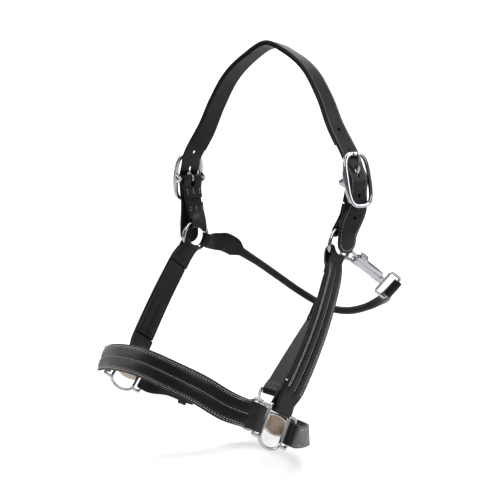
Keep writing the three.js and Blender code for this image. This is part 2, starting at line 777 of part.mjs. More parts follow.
/** A D: a straight bar on y = 0 and a bow below it. */
function deeLink() {
  const { bar, depth, wire } = DEE;
  const half = bar / 2;
  const outer = new THREE.Shape();
  outer.moveTo(half + wire, 0);
  outer.lineTo(half + wire, wire);
  outer.lineTo(-half - wire, wire);
  outer.lineTo(-half - wire, 0);
  outer.absellipse(0, 0, half + wire, depth + wire, Math.PI, 2 * Math.PI, false, 0);
  const inner = new THREE.Path();
  inner.moveTo(-half + wire, -wire);
  inner.absellipse(0, -wire, half - wire, depth - 2 * wire, Math.PI, 2 * Math.PI, false, 0);
  outer.holes.push(inner);
  return casting(outer, 2 * wire, 0.8, 10);
}

DEE_BAR.along.normalize();
DEE_BAR.down = across(DEE_BAR.down, DEE_BAR.along);
const deeFrame = frameAt(DEE_BAR.centre, DEE_BAR.along, DEE_BAR.down.clone().negate());
addMesh("jowl_dee", deeLink(), "metal", deeFrame);

// ---------------------------------------------------------------- snap

const [NEAR, OFF] = SIDES;
const snapAngle = Math.atan2(-0.69, 0.72);
const snapWire = NEAR.ring.point(snapAngle);
const snapFrame = frameAt(snapWire, SNAP_THUMB.clone().cross(SNAP_AXIS), across(SNAP_THUMB, SNAP_AXIS));
/** A rod along the snap's axis, `y` away from it towards the thumb block. */
function rod(radius, from, to, y = 0, sides = 14) {
  const cylinder = new THREE.CylinderGeometry(radius, radius, to - from, sides);
  return cylinder.rotateX(Math.PI / 2).translate(0, y, (from + to) / 2);
}

/** A round wire along points in the snap's own frame. */
function wireThrough(points, radius, sides, perSpan, sideways = V(1, 0, 0)) {
  const rows = points.map((at) => row(at, sideways, 2 * radius));
  return sweep(strapRun(rows, 2 * radius, perSpan), roundSection(sides));
}

/** The barrel, the rail that carries the bolt, and the hook; the hook is bent round the ring's wire. */
function snapBody() {
  const barrel = rod(SNAP.radius, SNAP.front, SNAP.rear);
  const rail = rod(RAIL.radius, SNAP.front - 0.5, RAIL.rear, RAIL.height);
  const [hookFrom, hookSweep, hookSteps] = [Math.PI, 0.76 * Math.PI, 8];
  const bend = Array.from({ length: hookSteps + 1 }, (_, i) => {
    const angle = hookFrom + (hookSweep * i) / hookSteps;
    return V(0, SNAP.hook * Math.cos(angle), SNAP.hook * Math.sin(angle));
  });
  const root = [V(0, -2.4, SNAP.front + 2), V(0, -4.4, SNAP.front - 2.5)];
  const hook = wireThrough([...root, ...bend], SNAP.hookWire, 8, 2);
  const bore = rod(RAIL.bore, SNAP.front - 4, RAIL.rear - 3, RAIL.height);
  const slot = new THREE.BoxGeometry(2.2, 6, 24).translate(0, RAIL.height + 3, SNAP.front + 8.5);
  const postBore = rod(POST.radius + POST.play, POST.headTo - 1, SNAP.rear + 1);
  const headBore = rod(POST.head + POST.play, POST.headFrom - POST.play, POST.headTo + POST.play);
  return cut(join(barrel, rail, hook), bore, slot, postBore, headBore);
}

/** The sliding bolt, and the thumb block that stands on it through the rail's slot. */
function snapBolt() {
  const [thumbLong, thumbWide, thumbThick] = BOLT.thumb;
  const [x, y, z] = [thumbLong / 2, thumbWide / 2, SNAP.front + 5];
  const bolt = rod(BOLT.radius, BOLT.tip, BOLT.rear, RAIL.height, 12);
  const neck = new THREE.BoxGeometry(BOLT.neck, 5, 6).translate(0, RAIL.height + 2.6, z);
  const thumb = roundedRectangle(THREE.Shape, -x, -y, x, y, 1.4);
  const block = casting(thumb, thumbThick, 0.6, 3).rotateX(Math.PI / 2);
  block.translate(0, RAIL.height + RAIL.radius + 2.3, z);
  return join(bolt, neck, block);
}

/** The coil spring behind the bolt, inside the rail. */
function snapSpring() {
  const { radius, wire, turns, perTurn, from, to } = SPRING;
  const points = Array.from({ length: turns * perTurn + 1 }, (_, i) => {
    const angle = (2 * Math.PI * i) / perTurn;
    const z = THREE.MathUtils.lerp(from, to, i / (turns * perTurn));
    return V(radius * Math.cos(angle), RAIL.height + radius * Math.sin(angle), z);
  });
  return wireThrough(points, wire, 5, 1, V(0, 0, 1));
}

/** The swivel eye: x across the strap, z away from the body. */
function snapEye() {
  const { width, depth, wire, near } = EYE;
  const half = width / 2;
  const shape = roundedRectangle(THREE.Shape, -half - wire, 0, half + wire, depth + 2 * wire, 4);
  shape.holes.push(roundedRectangle(THREE.Path, -half, wire, half, wire + depth, 1.2));
  const loop = casting(shape, wire, 0.7, 4).rotateX(Math.PI / 2).translate(0, 0, near);
  const post = rod(POST.radius, POST.headFrom + 1, near + wire / 2);
  const head = rod(POST.head, POST.headFrom, POST.headTo);
  return join(loop, post, head);
}

addMesh("snap_body", snapBody(), "metal", snapFrame);
addMesh("snap_bolt", snapBolt(), "metal", snapFrame);
addMesh("snap_spring", snapSpring(), "spring", snapFrame);

const eyeAcross = across(EYE_ACROSS, SNAP_AXIS);
const eyeFrame = frameAt(snapWire, eyeAcross, SNAP_AXIS.clone().cross(eyeAcross));
addMesh("snap_eye", snapEye(), "metal", eyeFrame);
const eyeBar = offset(snapWire, SNAP_AXIS, EYE.near + EYE.depth + 1.5 * EYE.wire);

// ---------------------------------------------------------------- throat lash

const tabAngle = Math.atan2(-0.39, 0.92);
const lashThick = 2 * LASH_RADIUS;
const lashRow = (x, y, z, out, width = lashThick, thick = lashThick) => row(V(x, y, z), out, width, thick);
const tabHold = grip(
  OFF.ring.point(tabAngle),
  OFF.ring.tangent(tabAngle),
  V(0.42, 0.85, -0.3),
  V(-0.9, 0.42, 0),
  RING_WIRE,
  STRAP_THICK,
  TAB_FOLD,
);
const eyeHold = grip(
  eyeBar,
  eyeAcross,
  V(-0.5, 0.85, -0.15),
  SNAP_AXIS,
  EYE.wire / 2,
  STRAP_THICK,
  EYE_STRAP_WIDTH,
);
const lash = heldStrap(
  tabHold,
  [
    lashRow(-75, 19, -219.5, V(-0.7, 0.6, 0), TAB_WIDTH, 5),
    lashRow(-67.5, 30, -226.5, V(-0.7, 0.6, 0.2), TAB_WIDTH - 1, 5.5),
    lashRow(-62.5, 37.5, -232.5, V(-0.65, 0.6, 0.3), 11.5, 8.6),
    lashRow(-50, 56, -247, V(-0.6, 0.6, 0.4)),
    lashRow(-33, 78, -267, V(-0.5, 0.6, 0.5)),
    lashRow(-13, 97, -287, V(-0.3, 0.7, 0.5)),
    lashRow(10, 106, -301, V(0, 0.8, 0.5)),
    lashRow(32, 106, -307, V(0.1, 0.9, 0.3)),
    lashRow(56, 102, -305, V(0.2, 0.9, 0.2)),
    lashRow(78, 98, -297, V(0.3, 0.9, 0.2), 11, 9),
    lashRow(98, 92, -285, V(0.5, 0.8, 0), 15, 7),
  ],
  eyeHold,
  { perSpan: 2, tail: 20, toTail: 12 },
);
const lashSweep = sweep(lash.stations, roundSection(8, 0.5));
addMesh("throat_lash", followRing(lashSweep, tabHold, INSIDE_RING), "leather");

// ---------------------------------------------------------------- jowl strap

{
  const fromMiddle = (s) => Math.abs(s.point.x - JOWL_AT);
  const nearest = lash.run.reduce((best, s) => (fromMiddle(s) < fromMiddle(best) ? s : best));
  const lashAlong = nearest.across.clone().cross(nearest.out);
  const outside = V(0, 0.52, -0.85);
  const upper = grip(
    nearest.point,
    lashAlong,
    DEE_BAR.centre.clone().sub(nearest.point),
    outside,
    LASH_RADIUS + 1,
    STAY_THICK,
    JOWL_WIDTH,
  );
  const lower = grip(
    DEE_BAR.centre,
    DEE_BAR.along,
    nearest.point.clone().sub(DEE_BAR.centre),
    outside,
    DEE.wire,
    STAY_THICK,
    2 * (DEE.bar / 2 - DEE.wire) - 1.4,
  );
  const jowl = heldStrap(upper, [], lower, { perSpan: 3, tail: 26, toTail: 13 });
  addMesh("jowl_strap", sweep(jowl.stations), "leather");
}

export default headcollar;
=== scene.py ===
"""The looks of a leather headcollar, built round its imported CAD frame.

Lengths are in millimetres until a mesh is made, and the axes are the frame's own: +Z up, +X the
horse's left (the near side), -Y towards the nose, and the origin at the poll.
Every strap is a section swept along stations: points on the middle of the leather, each with the
direction across the strap and the way its outer face looks.
"""

from bisect import bisect_left, bisect_right
from dataclasses import dataclass, replace
from itertools import accumulate
from math import atan2, copysign, cos, exp, pi, radians, sin, sqrt, tau
from types import SimpleNamespace as Named

import bmesh
import bpy
from mathutils import Matrix, Vector


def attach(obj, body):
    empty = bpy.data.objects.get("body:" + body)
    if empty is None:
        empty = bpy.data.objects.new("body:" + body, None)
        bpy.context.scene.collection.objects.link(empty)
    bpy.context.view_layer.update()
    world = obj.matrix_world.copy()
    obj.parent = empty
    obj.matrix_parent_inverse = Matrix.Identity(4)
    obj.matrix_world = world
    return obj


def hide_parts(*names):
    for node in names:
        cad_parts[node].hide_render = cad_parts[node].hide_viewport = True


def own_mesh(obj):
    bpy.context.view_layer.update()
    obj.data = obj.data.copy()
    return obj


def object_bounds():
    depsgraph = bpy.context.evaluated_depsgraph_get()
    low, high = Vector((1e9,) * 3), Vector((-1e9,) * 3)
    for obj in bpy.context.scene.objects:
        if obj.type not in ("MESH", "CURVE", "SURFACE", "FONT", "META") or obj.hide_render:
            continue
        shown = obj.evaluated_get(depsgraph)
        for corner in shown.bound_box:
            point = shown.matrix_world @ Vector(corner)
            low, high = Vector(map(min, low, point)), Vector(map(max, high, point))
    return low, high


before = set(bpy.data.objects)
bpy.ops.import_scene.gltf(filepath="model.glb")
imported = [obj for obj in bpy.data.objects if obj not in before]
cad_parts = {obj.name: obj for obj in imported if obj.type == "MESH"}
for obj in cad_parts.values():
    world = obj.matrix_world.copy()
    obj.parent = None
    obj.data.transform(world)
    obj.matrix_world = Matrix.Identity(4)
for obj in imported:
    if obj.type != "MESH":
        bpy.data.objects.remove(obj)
CAD_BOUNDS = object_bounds()

MM = 0.001  # metres in a millimetre


def V(x, y, z):
    return Vector((x, y, z))


UP = V(0, 0, 1)


# ---- dimensions shared with the CAD

GAP = 0.35
SEAM = 0.75
PLAY = 0.5
LOOSE = 0.7

STRAP_WIDTH = 25
STRAP_THICK = 3
FOLD_WIDTH = 22.4
RING_FOLD = 20
LINING_THICK = 3.6
CROWN_LINING_THICK = 1.8
LINING_INSET = 1
TAIL = 25
LEAD = 7
NOSEBAND_WIDTH = 25
CHIN_WIDTH = 21
CHIN_FOLD = 20
JOWL_WIDTH = 20
STAY_THICK = 2.4
LASH_RADIUS = 4.8
TAB_WIDTH = 24
TAB_FOLD = 16
EYE_STRAP_WIDTH = 20

RING_RADIUS = 16
RING_WIRE = 2.1
LEAD_RING_RADIUS = 17
INSIDE_RING = RING_RADIUS - RING_WIRE - 2 * PLAY
BUCKLE = Named(width=39, length=57, wire=4.6, bar=1.9, bar_drop=6.5, play=2.0)
TONGUE_WIRE = 1.3
TONGUE_SLOT = Named(width=5.4, past=9, centre=6.5, depth=12)
FITTING = Named(reach=23.3, inner=14, slot=12, top=16.4, bulge=6, wire=3.2)
PLATE = Named(thick=2.2, half=6.6, crown=2.4, raised=1.4)
DEE = Named(bar=22, depth=23.5, wire=1.8)
TIP = 11
EDGE_INSET = 2.7
HOLE = Named(radius=2, pitch=24, first=8, each=2, depth=12)
USED_HOLE = Named(wider=1.15, longer=3.4)
CROWN_LINING_REACH = 148
KEEPER = Named(length=9, wall=1.4, play=0.9, at=47)
SNAP = Named(radius=4.8, front=10, rear=58, hook=6.8, hook_wire=1.9)
RAIL = Named(height=5.8, radius=2.9, bore=2.15, rear=52)
BOLT = Named(radius=1.8, tip=-1.7, rear=23)
SPRING = Named(radius=1.4, wire=0.35, turns=6, front=24, rear=47.8)
POST = Named(radius=2.1, head=3.2, head_from=51, head_to=54)
EYE = Named(width=24, depth=14, wire=3.2, near=61.2)
JOWL_AT = 18


# ---- vectors and placements


def unit(v):
    return v.normalized()


def across(v, axis):
    """The part of v that is perpendicular to the unit vector axis, made unit length."""
    return (v - axis * v.dot(axis)).normalized()


def lerp(a, b, t):
    return a + (b - a) * t


def smooth(x, low, high):
    t = min(max((x - low) / (high - low), 0), 1)
    return t * t * (3 - 2 * t)


def loop_of(sides, power=1.0, first=0.0):
    """Points evenly round a rounded square: a circle at power 1, boxier below it."""
    points = []
    for k in range(sides):
        a = tau * (k + first) / sides
        c, s = cos(a), sin(a)
        points.append((copysign(abs(c) ** power, c), copysign(abs(s) ** power, s)))
    return points


def arc_of(first, sweep, steps):
    """Points on a unit circle at even steps through a sweep, with both its ends."""
    angles = [first + sweep * i / steps for i in range(steps + 1)]
    return [(cos(a), sin(a)) for a in angles]


def placement(centre, x, y):
    """A matrix with its origin at centre, x along x, y as near to y as it can be, z = x cross y."""
    ex = unit(x)
    ey = across(y, ex)
    ez = ex.cross(ey)
    matrix = Matrix((ex, ey, ez)).transposed().to_4x4()
    matrix.translation = centre
    return matrix


# ---- hardware places


class Side(Named):
    """Where one side's hardware is, and which way it is turned."""

    def __init__(self, **places):
        super().__init__(**places)
        self.ring_back = unit(self.ring_back)
        self.bar = unit(self.bar)
        self.buckle_up = across(self.buckle_up, self.bar)
        self.buckle_out = self.bar.cross(self.buckle_up)
        if self.buckle_out.x * self.sign < 0:
            self.buckle_out.negate()
        self.bar_centre = self.buckle - self.buckle_out * BUCKLE.bar_drop
        self.back = unit(self.back)
        self.up = -across(self.down, self.back)
        out = self.back.cross(self.up)
        self.outward = out * copysign(1, out.x) * self.sign
        self.fitting_frame = placement(self.fitting, self.back, self.up)
        x = self.buckle_up.cross(self.buckle_out)
        self.buckle_frame = placement(self.buckle, x, self.buckle_up)

    def ring_point(self, angle):
        return self.ring + (self.ring_back * cos(angle) + UP * sin(angle)) * RING_RADIUS

    def ring_hold(self, angle, *how, **sizes):
        """How a strap holds the ring's wire at an angle from the ring's back."""
        along = UP * cos(angle) - self.ring_back * sin(angle)
        return Hold(self.ring_point(angle), along, *how, **sizes)


NEAR = Side(
    name="near", sign=1, ring=V(96, -21, -205), ring_back=V(0.29, 0.957, 0),
    buckle=V(110, -12, -140), bar=V(0.33, 0.94, 0.04), buckle_up=V(-0.2, 0, 0.98),
    fitting=V(91, -142, -354.5), back=V(0.26, 0.784, -0.564), down=V(-0.08, -0.564, -0.821),
    tip_back=-5, cheek_bow=7,
)
OFF = Side(
    name="off", sign=-1, ring=V(-89, -20, -209), ring_back=V(0.34, 0.94, 0),
    buckle=V(-105, -12, -140), bar=V(0.33, 0.943, 0.04), buckle_up=V(0.2, 0, 0.98),
    fitting=V(-92, -134.5, -340), back=V(0.32, 0.715, -0.621), down=V(-0.12, -0.62, -0.775),
    tip_back=0, cheek_bow=3,
)
SIDES = [NEAR, OFF]

LEAD_RING = V(5, -42, -399.5)
LEAD_AXIS = unit(V(0.899, -0.438, 0))
DEE_BAR = V(11, -14.5, -380.5)
DEE_ALONG = unit(V(0.943, 0.227, -0.176))
DEE_DOWN = across(V(0.09, -0.815, -0.575), DEE_ALONG)
SNAP_AXIS = unit(V(0.347, 0.761, -0.547))
SNAP_THUMB = across(V(0.94, -0.09, 0.47), SNAP_AXIS)
EYE_ACROSS = across(V(0.563, 0.308, 0.784), SNAP_AXIS)
SNAP_WIRE = NEAR.ring_point(atan2(-0.69, 0.72))


# ---- routes

TURN_STEPS = 18


@dataclass
class Row:
    at: Vector
    out: Vector
    width: float = STRAP_WIDTH
    thick: float = None


@dataclass
class Station:
    point: Vector
    across: Vector
    out: Vector
    width: float
    thick: float


class Hold:
    """How a strap holds a wire."""

    def __init__(self, wire, along, towards, outside, wire_radius, thick=STRAP_THICK, width=STRAP_WIDTH):
        self.wire, self.thick, self.width = wire, thick, width
        self.radius = wire_radius + PLAY + thick / 2
        self.axis = unit(along)
        self.away = across(towards, self.axis)
        self.out = self.away.cross(self.axis)
        if self.out.dot(outside) < 0:
            self.out.negate()
        self.start = wire + self.out * self.radius


def curve_point(points, t):
    """A centripetal Catmull-Rom curve through points, and its tangent, at t from 0 to 1."""
    spans = len(points) - 1
    i = min(int(t * spans), spans - 1)
    u = t * spans - i
    p1, p2 = points[i], points[i + 1]
    p0 = points[i - 1] if i > 0 else p1 * 2 - p2
    p3 = points[i + 2] if i + 2 < len(points) else p2 * 2 - p1
    d0, d1, d2 = [sqrt(max((b - a).length, 1e-6)) for a, b in ((p0, p1), (p1, p2), (p2, p3))]
    m1 = ((p1 - p0) / d0 - (p2 - p0) / (d0 + d1) + (p2 - p1) / d1) * d1
    m2 = ((p2 - p1) / d1 - (p3 - p1) / (d1 + d2) + (p3 - p2) / d2) * d1
    c2 = (p2 - p1) * 3 - m1 * 2 - m2
    c3 = (p1 - p2) * 2 + m1 + m2
    point = p1 + m1 * u + c2 * u * u + c3 * u * u * u
    tangent = m1 + c2 * 2 * u + c3 * 3 * u * u
    return point, tangent.normalized()


class Run:
    """A strap's stations with their distances along it."""

    def __init__(self, stations):
        self.stations = stations
        steps = ((b.point - a.point).length for a, b in zip(stations, stations[1:]))
        self.along = [0, *accumulate(steps)]
        self.total = self.along[-1]

    def at(self, distance):
        low = min(max(bisect_right(self.along, distance) - 1, 0), len(self.along) - 2)
        span = self.along[low + 1] - self.along[low]
        t = (distance - self.along[low]) / max(span, 1e-9)
        a, b = self.stations[low], self.stations[low + 1]
        return Station(
            a.point.lerp(b.point, t),
            unit(a.across.lerp(b.across, t)),
            unit(a.out.lerp(b.out, t)),
            lerp(a.width, b.width, t),
            lerp(a.thick, b.thick, t),
        )

    def cut(self, start, end, step=2.0):
        """Evenly spaced stations between two distances."""
        count = max(int(round((end - start) / step)), 1)
        return [self.at(lerp(start, end, i / count)) for i in range(count + 1)]

    def reversed(self):
        return Run(self.stations[::-1])


def run_through(rows, thick, per_span=12):
    points = [r.at for r in rows]
    spans = len(rows) - 1
    stations = []
    for i in range(spans * per_span + 1):
        t = i / (spans * per_span)
        k = min(int(t * spans), spans - 1)
        u = t * spans - k
        point, tangent = curve_point(points, t)
        a, b = rows[k], rows[k + 1]
        out = across(a.out.lerp(b.out, u), tangent)
        thicks = [thick if r.thick is None else r.thick for r in (a, b)]
        side = unit(out.cross(tangent))
        stations.append(Station(point, side, out, lerp(a.width, b.width, u), lerp(*thicks, u)))
    return Run(stations)


def turn_back(run, held, tail):
    """The turn round a wire and the ply sewn down behind it, outwards from the run's first station."""
    stations = []
    side = run.stations[0].across
    for c, s in arc_of(0, pi, TURN_STEPS)[1:]:
        out = held.out * c - held.away * s
        stations.append(Station(held.wire + out * held.radius, side, out, held.width, held.thick))
    closed = held.thick + GAP
    blend = 3.5 * held.radius
    count = int(tail / 1.5)
    for i in range(1, count + 1):
        s = tail * i / count
        at = run.at(s)
        depth = lerp(2 * held.radius, closed, smooth(s, 0, blend))
        stations.append(Station(at.point - at.out * depth, at.across, -at.out, at.width, held.thick))
    return stations


def held_strap(start, via, end, tail=TAIL, end_tail=None, step=2.0):
    """A strap's run between two holds. Its strap is all the stations, which begin before the run does."""

    def lead(held):
        away = held.start + held.away * LEAD
        return [Row(held.start, held.out, held.width), Row(away, held.out, held.width)]

    run = run_through([*lead(start), *via, *lead(end)[::-1]], start.thick)
    first = turn_back(run, start, tail)[::-1]
    last = turn_back(run.reversed(), end, end_tail or tail)
    run.before = Run([*first, run.stations[0]]).total
    run.strap = [*first, *run.cut(0, run.total, step), *last]
    return run


def lining_of(run, start, end, thick, seam):
    """The stations of a lining on the inner face of a run."""
    stations = []
    for s in run.cut(start, end):
        point = s.point - s.out * (s.thick / 2 + seam + thick / 2)
        stations.append(replace(s, point=point, width=s.width - 2 * LINING_INSET, thick=thick))
    return stations


def rows_of(table, width=STRAP_WIDTH):
    """Rows from lines of a point, the outward direction, and perhaps a width and a thickness."""
    return [Row(V(*line[:3]), V(*line[3:6]), *(line[6:] or [width])) for line in table]


# ---- materials

MID_NOISE = (0.3, 0.7)  # noise hardly leaves this range


def set_inputs(node, **values):
    """Gives a node's inputs their constants or links, and any other values to the node itself."""
    for name, value in values.items():
        name = name.replace("_", " ")
        if isinstance(value, bpy.types.NodeSocket):
            node.id_data.links.new(value, node.inputs[name])
        elif name in node.inputs:
            node.inputs[name].default_value = value
        else:
            setattr(node, name, value)
    return node


def new_material(name, **values):
    """A Principled material, its node tree and its shader."""
    material = bpy.data.materials.new(name)
    material.use_nodes = True
    tree = material.node_tree
    return material, tree, set_inputs(tree.nodes["Principled BSDF"], **values)


def add_node(tree, kind, **values):
    return set_inputs(tree.nodes.new(kind), **values)


def object_noise(tree, scale, detail=2.0, roughness=0.5, stretch=(1, 1, 1)):
    """Noise over the object's own space, in features per metre."""
    space = add_node(tree, "ShaderNodeTexCoord").outputs["Object"]
    place = add_node(tree, "ShaderNodeMapping", Vector=space, Scale=stretch).outputs["Vector"]
    noise = add_node(tree, "ShaderNodeTexNoise", Vector=place, Scale=scale)
    return set_inputs(noise, Detail=detail, Roughness=roughness).outputs["Fac"]


def remap(tree, noise, low, high):
    """Spreads noise from low to high."""
    ends = {"From_Min": MID_NOISE[0], "From_Max": MID_NOISE[1], "To_Min": low, "To_Max": high}
    return add_node(tree, "ShaderNodeMapRange", Value=noise, **ends).outputs["Result"]


def colour_between(tree, noise, dark, light):
    ramp = add_node(tree, "ShaderNodeValToRGB", Fac=noise)
    for element, position, colour in zip(ramp.color_ramp.elements, MID_NOISE, (dark, light)):
        element.position = position
        element.color = (*colour, 1)
    return ramp.outputs["Color"]


def bump(tree, shader, height, strength, distance):
    """Adds relief to a shader, on top of what it has."""
    node = add_node(tree, "ShaderNodeBump", Height=height, Strength=strength, Distance=distance)
    if shader.inputs["Normal"].is_linked:
        set_inputs(node, Normal=shader.inputs["Normal"].links[0].from_socket)
    set_inputs(shader, Normal=node.outputs["Normal"])


def leather(name, dark, light, rough, grain, pores, shine):
    material, tree, shader = new_material(name, Specular_IOR_Level=shine)
    colour = colour_between(tree, object_noise(tree, 55, 4, 0.6), dark, light)
    set_inputs(shader, Base_Color=colour, Roughness=remap(tree, object_noise(tree, 140, 5), *rough))
    space = add_node(tree, "ShaderNodeTexCoord").outputs["Object"]
    cells = add_node(tree, "ShaderNodeTexVoronoi", feature="SMOOTH_F1", Vector=space, Scale=grain)
    bump(tree, shader, cells.outputs["Distance"], pores, 0.00025)
    bump(tree, shader, object_noise(tree, 90, 3), 0.22, 0.0006)
    return material


def metal(name, colour, rough, scratch, stretch=(1, 1, 1)):
    material, tree, shader = new_material(name, Metallic=1.0, Base_Color=(*colour, 1))
    set_inputs(shader, Roughness=remap(tree, object_noise(tree, 220, 4), *rough))
    bump(tree, shader, object_noise(tree, 900, 3, 0.6, stretch), scratch, 0.00008)
    return material


def thread_material():
    material, tree, shader = new_material("thread", Roughness=0.75, Sheen_Weight=0.25)
    fibre = object_noise(tree, 2600, 2)
    set_inputs(shader, Base_Color=colour_between(tree, fibre, (0.42, 0.41, 0.385), (0.68, 0.66, 0.62)))
    bump(tree, shader, fibre, 0.5, 0.0001)
    return material


LEATHER = leather(
    "strap_leather", (0.0025, 0.0025, 0.0028), (0.006, 0.006, 0.0068),
    rough=(0.34, 0.46), grain=1500, pores=0.25, shine=0.22,
)
SOFT = leather(
    "lining_leather", (0.0035, 0.0035, 0.004), (0.008, 0.008, 0.009),
    rough=(0.46, 0.6), grain=1100, pores=0.35, shine=0.2,
)
EDGE = leather(
    "burnished_edge", (0.003, 0.0028, 0.0026), (0.008, 0.0074, 0.0068),
    rough=(0.4, 0.6), grain=2400, pores=0.4, shine=0.2,
)
CHROME = metal("polished_chrome", (0.38, 0.385, 0.41), (0.06, 0.13), 0.05)
CHAMPAGNE = metal("champagne_plate", (0.21, 0.16, 0.125), (0.3, 0.42), 0.5, stretch=(1, 1, 7))
BRIGHT_RIM = metal("plate_rim", (0.4, 0.34, 0.29), (0.14, 0.22), 0.1)
SPRING_STEEL = metal("spring_steel", (0.42, 0.42, 0.44), (0.25, 0.35), 0.2)
THREAD = thread_material()
STRAP = [LEATHER, EDGE]
LINING = [SOFT, EDGE]


# ---- pieces

STRAPWORK = "strapwork"
SHARP = radians(48)


def add_object(name, data):
    obj = bpy.data.objects.new(name, data)
    bpy.context.scene.collection.objects.link(obj)
    return obj


def piece(name, shape, materials, body=STRAPWORK):
    """A finished piece from a mesh or bmesh in millimetres, riding on its body."""
    mesh = shape
    if isinstance(shape, bmesh.types.BMesh):
        mesh = bpy.data.meshes.new(name)
        shape.normal_update()
        shape.to_mesh(mesh)
        shape.free()
    mesh.name = name
    mesh.transform(Matrix.Scale(MM, 4))
    for i, material in enumerate(materials):
        if i < len(mesh.materials):
            mesh.materials[i] = material
        else:
            mesh.materials.append(material)
    mesh.shade_smooth()
    mesh.set_sharp_from_angle(angle=SHARP)
    obj = add_object(name, mesh)
    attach(obj, body)
    return obj


def look(node, shape, materials, body=STRAPWORK):
    """The piece that is seen in place of a CAD node."""
    obj = piece(f"{node}_look", shape, materials, body)
    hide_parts(node)
    return obj


def add_rings(bm, rings, closed_path=False, face_material=lambda column: 0, cap_material=0):
    """Skins rings of points, each going anticlockwise round the section seen from the path's end."""
    made = [[bm.verts.new(p) for p in ring] for ring in rings]
    for a, b in zip(made, made[1:] + made[:1] if closed_path else made[1:]):
        for i in range(len(a)):
            j = (i + 1) % len(a)
            bm.faces.new((a[i], a[j], b[j], b[i])).material_index = face_material(i)
    if closed_path:
        return
    for ring in (made[0][::-1], made[-1]):
        centre = bm.verts.new(sum((v.co for v in ring), V(0, 0, 0)) / len(ring))
        for a, b in zip(ring, ring[1:] + ring[:1]):
            bm.faces.new((a, b, centre)).material_index = cap_material


def follow_ring(points, held):
    """Bends a strap's end so that its turn follows a round ring instead of a straight bar."""
    bent = []
    for p in points:
        rel = p - held.wire
        sideways = rel.dot(held.axis)
        share = 1 - smooth(rel.dot(held.away), 3, 18)
        drop = INSIDE_RING - sqrt(max(INSIDE_RING**2 - sideways**2, 0))
        bent.append(p - held.away * drop * share)
    return bent


# ---- strap sections

FACE_COLUMNS = 26
EDGE_STEPS = 6


def strap_section(station, profile, under, distance, rounding):
    """One closed section: the outer face, an edge, the inner face, and the other edge, backwards."""
    half, t = station.width / 2, station.thick / 2
    r = min(rounding, half * 0.9)
    flat = half - r
    columns = [lerp(-flat, flat, i / FACE_COLUMNS) for i in range(FACE_COLUMNS + 1)]
    edge = arc_of(pi / 2, -pi, EDGE_STEPS)[1:-1]
    section = [(x, t + profile(x, distance)) for x in columns]
    section += [(flat + r * c, t * s) for c, s in edge]
    section += [(-x, -t - under(-x, distance)) for x in columns]
    section += [(-flat - r * c, -t * s) for c, s in edge]
    return [station.point + station.across * x + station.out * y for x, y in section[::-1]]


def section_material(column):
    """Material 1 on a strap's edges and 0 on its faces, for a section that goes round backwards."""
    edge = EDGE_STEPS - 1
    return int((column + 1) % (FACE_COLUMNS + 1 + edge) <= edge)


def flat_profile(_x, _distance):
    return 0.0


def quilted(rows, height, start, end, width, fade=7, groove=0.25):
    """Padding between rows of stitching that sink into it, from one distance to another."""
    edges = sorted({-width / 2, *rows, width / 2})

    def profile(x, distance):
        share = smooth(distance, start - fade, start + 1) * (1 - smooth(distance, end - 1, end + fade))
        if share == 0:
            return 0.0
        rise = 0.0
        for low, high in zip(edges, edges[1:]):
            if low <= x <= high and high - low > 3:
                u = 2 * (x - low) / (high - low) - 1
                rise = height * (1 - u**4) * min((high - low) / 8, 1)
        sink = sum(groove * exp(-(((x - r) / 0.55) ** 2)) for r in rows)
        return share * (rise - sink)

    return profile


def creased(rows, depth=0.28):
    """Shallow lines pressed into the leather."""

    def profile(x, _distance):
        return -sum(depth * exp(-(((x - r) / 0.45) ** 2)) for r in rows)

    return profile


def strap_mesh(stations, before=0.0, profile=flat_profile, under=flat_profile, bend=None, rounding=1.3):
    """A strap as a bmesh; its stations begin this far before the run's start, where distances are 0."""
    bm = bmesh.new()
    rings = []
    distance = -before
    previous = stations[0].point
    for station in stations:
        distance += (station.point - previous).length
        previous = station.point
        points = strap_section(station, profile, under, distance, rounding)
        rings.append(follow_ring(points, bend) if bend else points)
    add_rings(bm, rings, face_material=section_material, cap_material=1)
    return bm


# ---- stitching

STITCH = Named(pitch=2.5, length=2.1, radius=0.21, slant=0.08)


def add_stitch(bm, point, along, side, out):
    """One stitch: a short round-ended thread lying half sunk in the leather."""
    rings = []
    for t, swell in ((-1, 0.25), (-0.86, 0.75), (-0.5, 1), (0.5, 1), (0.86, 0.75), (1, 0.25)):
        centre = point + along * (t * STITCH.length / 2) + out * (0.12 * (1 - t * t) - 0.05)
        radius = STITCH.radius * swell
        rings.append([centre + side * radius * c + out * radius * s for c, s in loop_of(6)])
    add_rings(bm, rings)


def stitch_line(bm, run, x, start, end, profile=flat_profile, bend=None, depth=None):
    """Stitches at x across a run's outer side, or, given a depth, on a ply that far behind its middle."""
    for i in range(max(int((end - start) / STITCH.pitch), 1)):
        distance = start + STITCH.pitch * (i + 0.5)
        s = run.at(distance)
        lift = s.thick / 2 + profile(x, distance) if depth is None else -depth
        out = s.out if depth is None else -s.out
        point = s.point + s.across * x + s.out * lift
        if bend:
            point = follow_ring([point], bend)[0]
        along = unit(s.across.cross(s.out) + s.across * STITCH.slant)
        add_stitch(bm, point, along, unit(out.cross(along)), out)


def sew(node, run, lines, profile=flat_profile, bend=None):
    """A strap's stitching. Each line is its places across the strap, its ends, and perhaps its depth."""
    thread = bmesh.new()
    for places, start, end, *depth in lines:
        for x in places:
            stitch_line(thread, run, x, start, end, profile, bend, *depth)
    piece(f"{node}_stitches", thread, [THREAD])


# ---- wires and castings


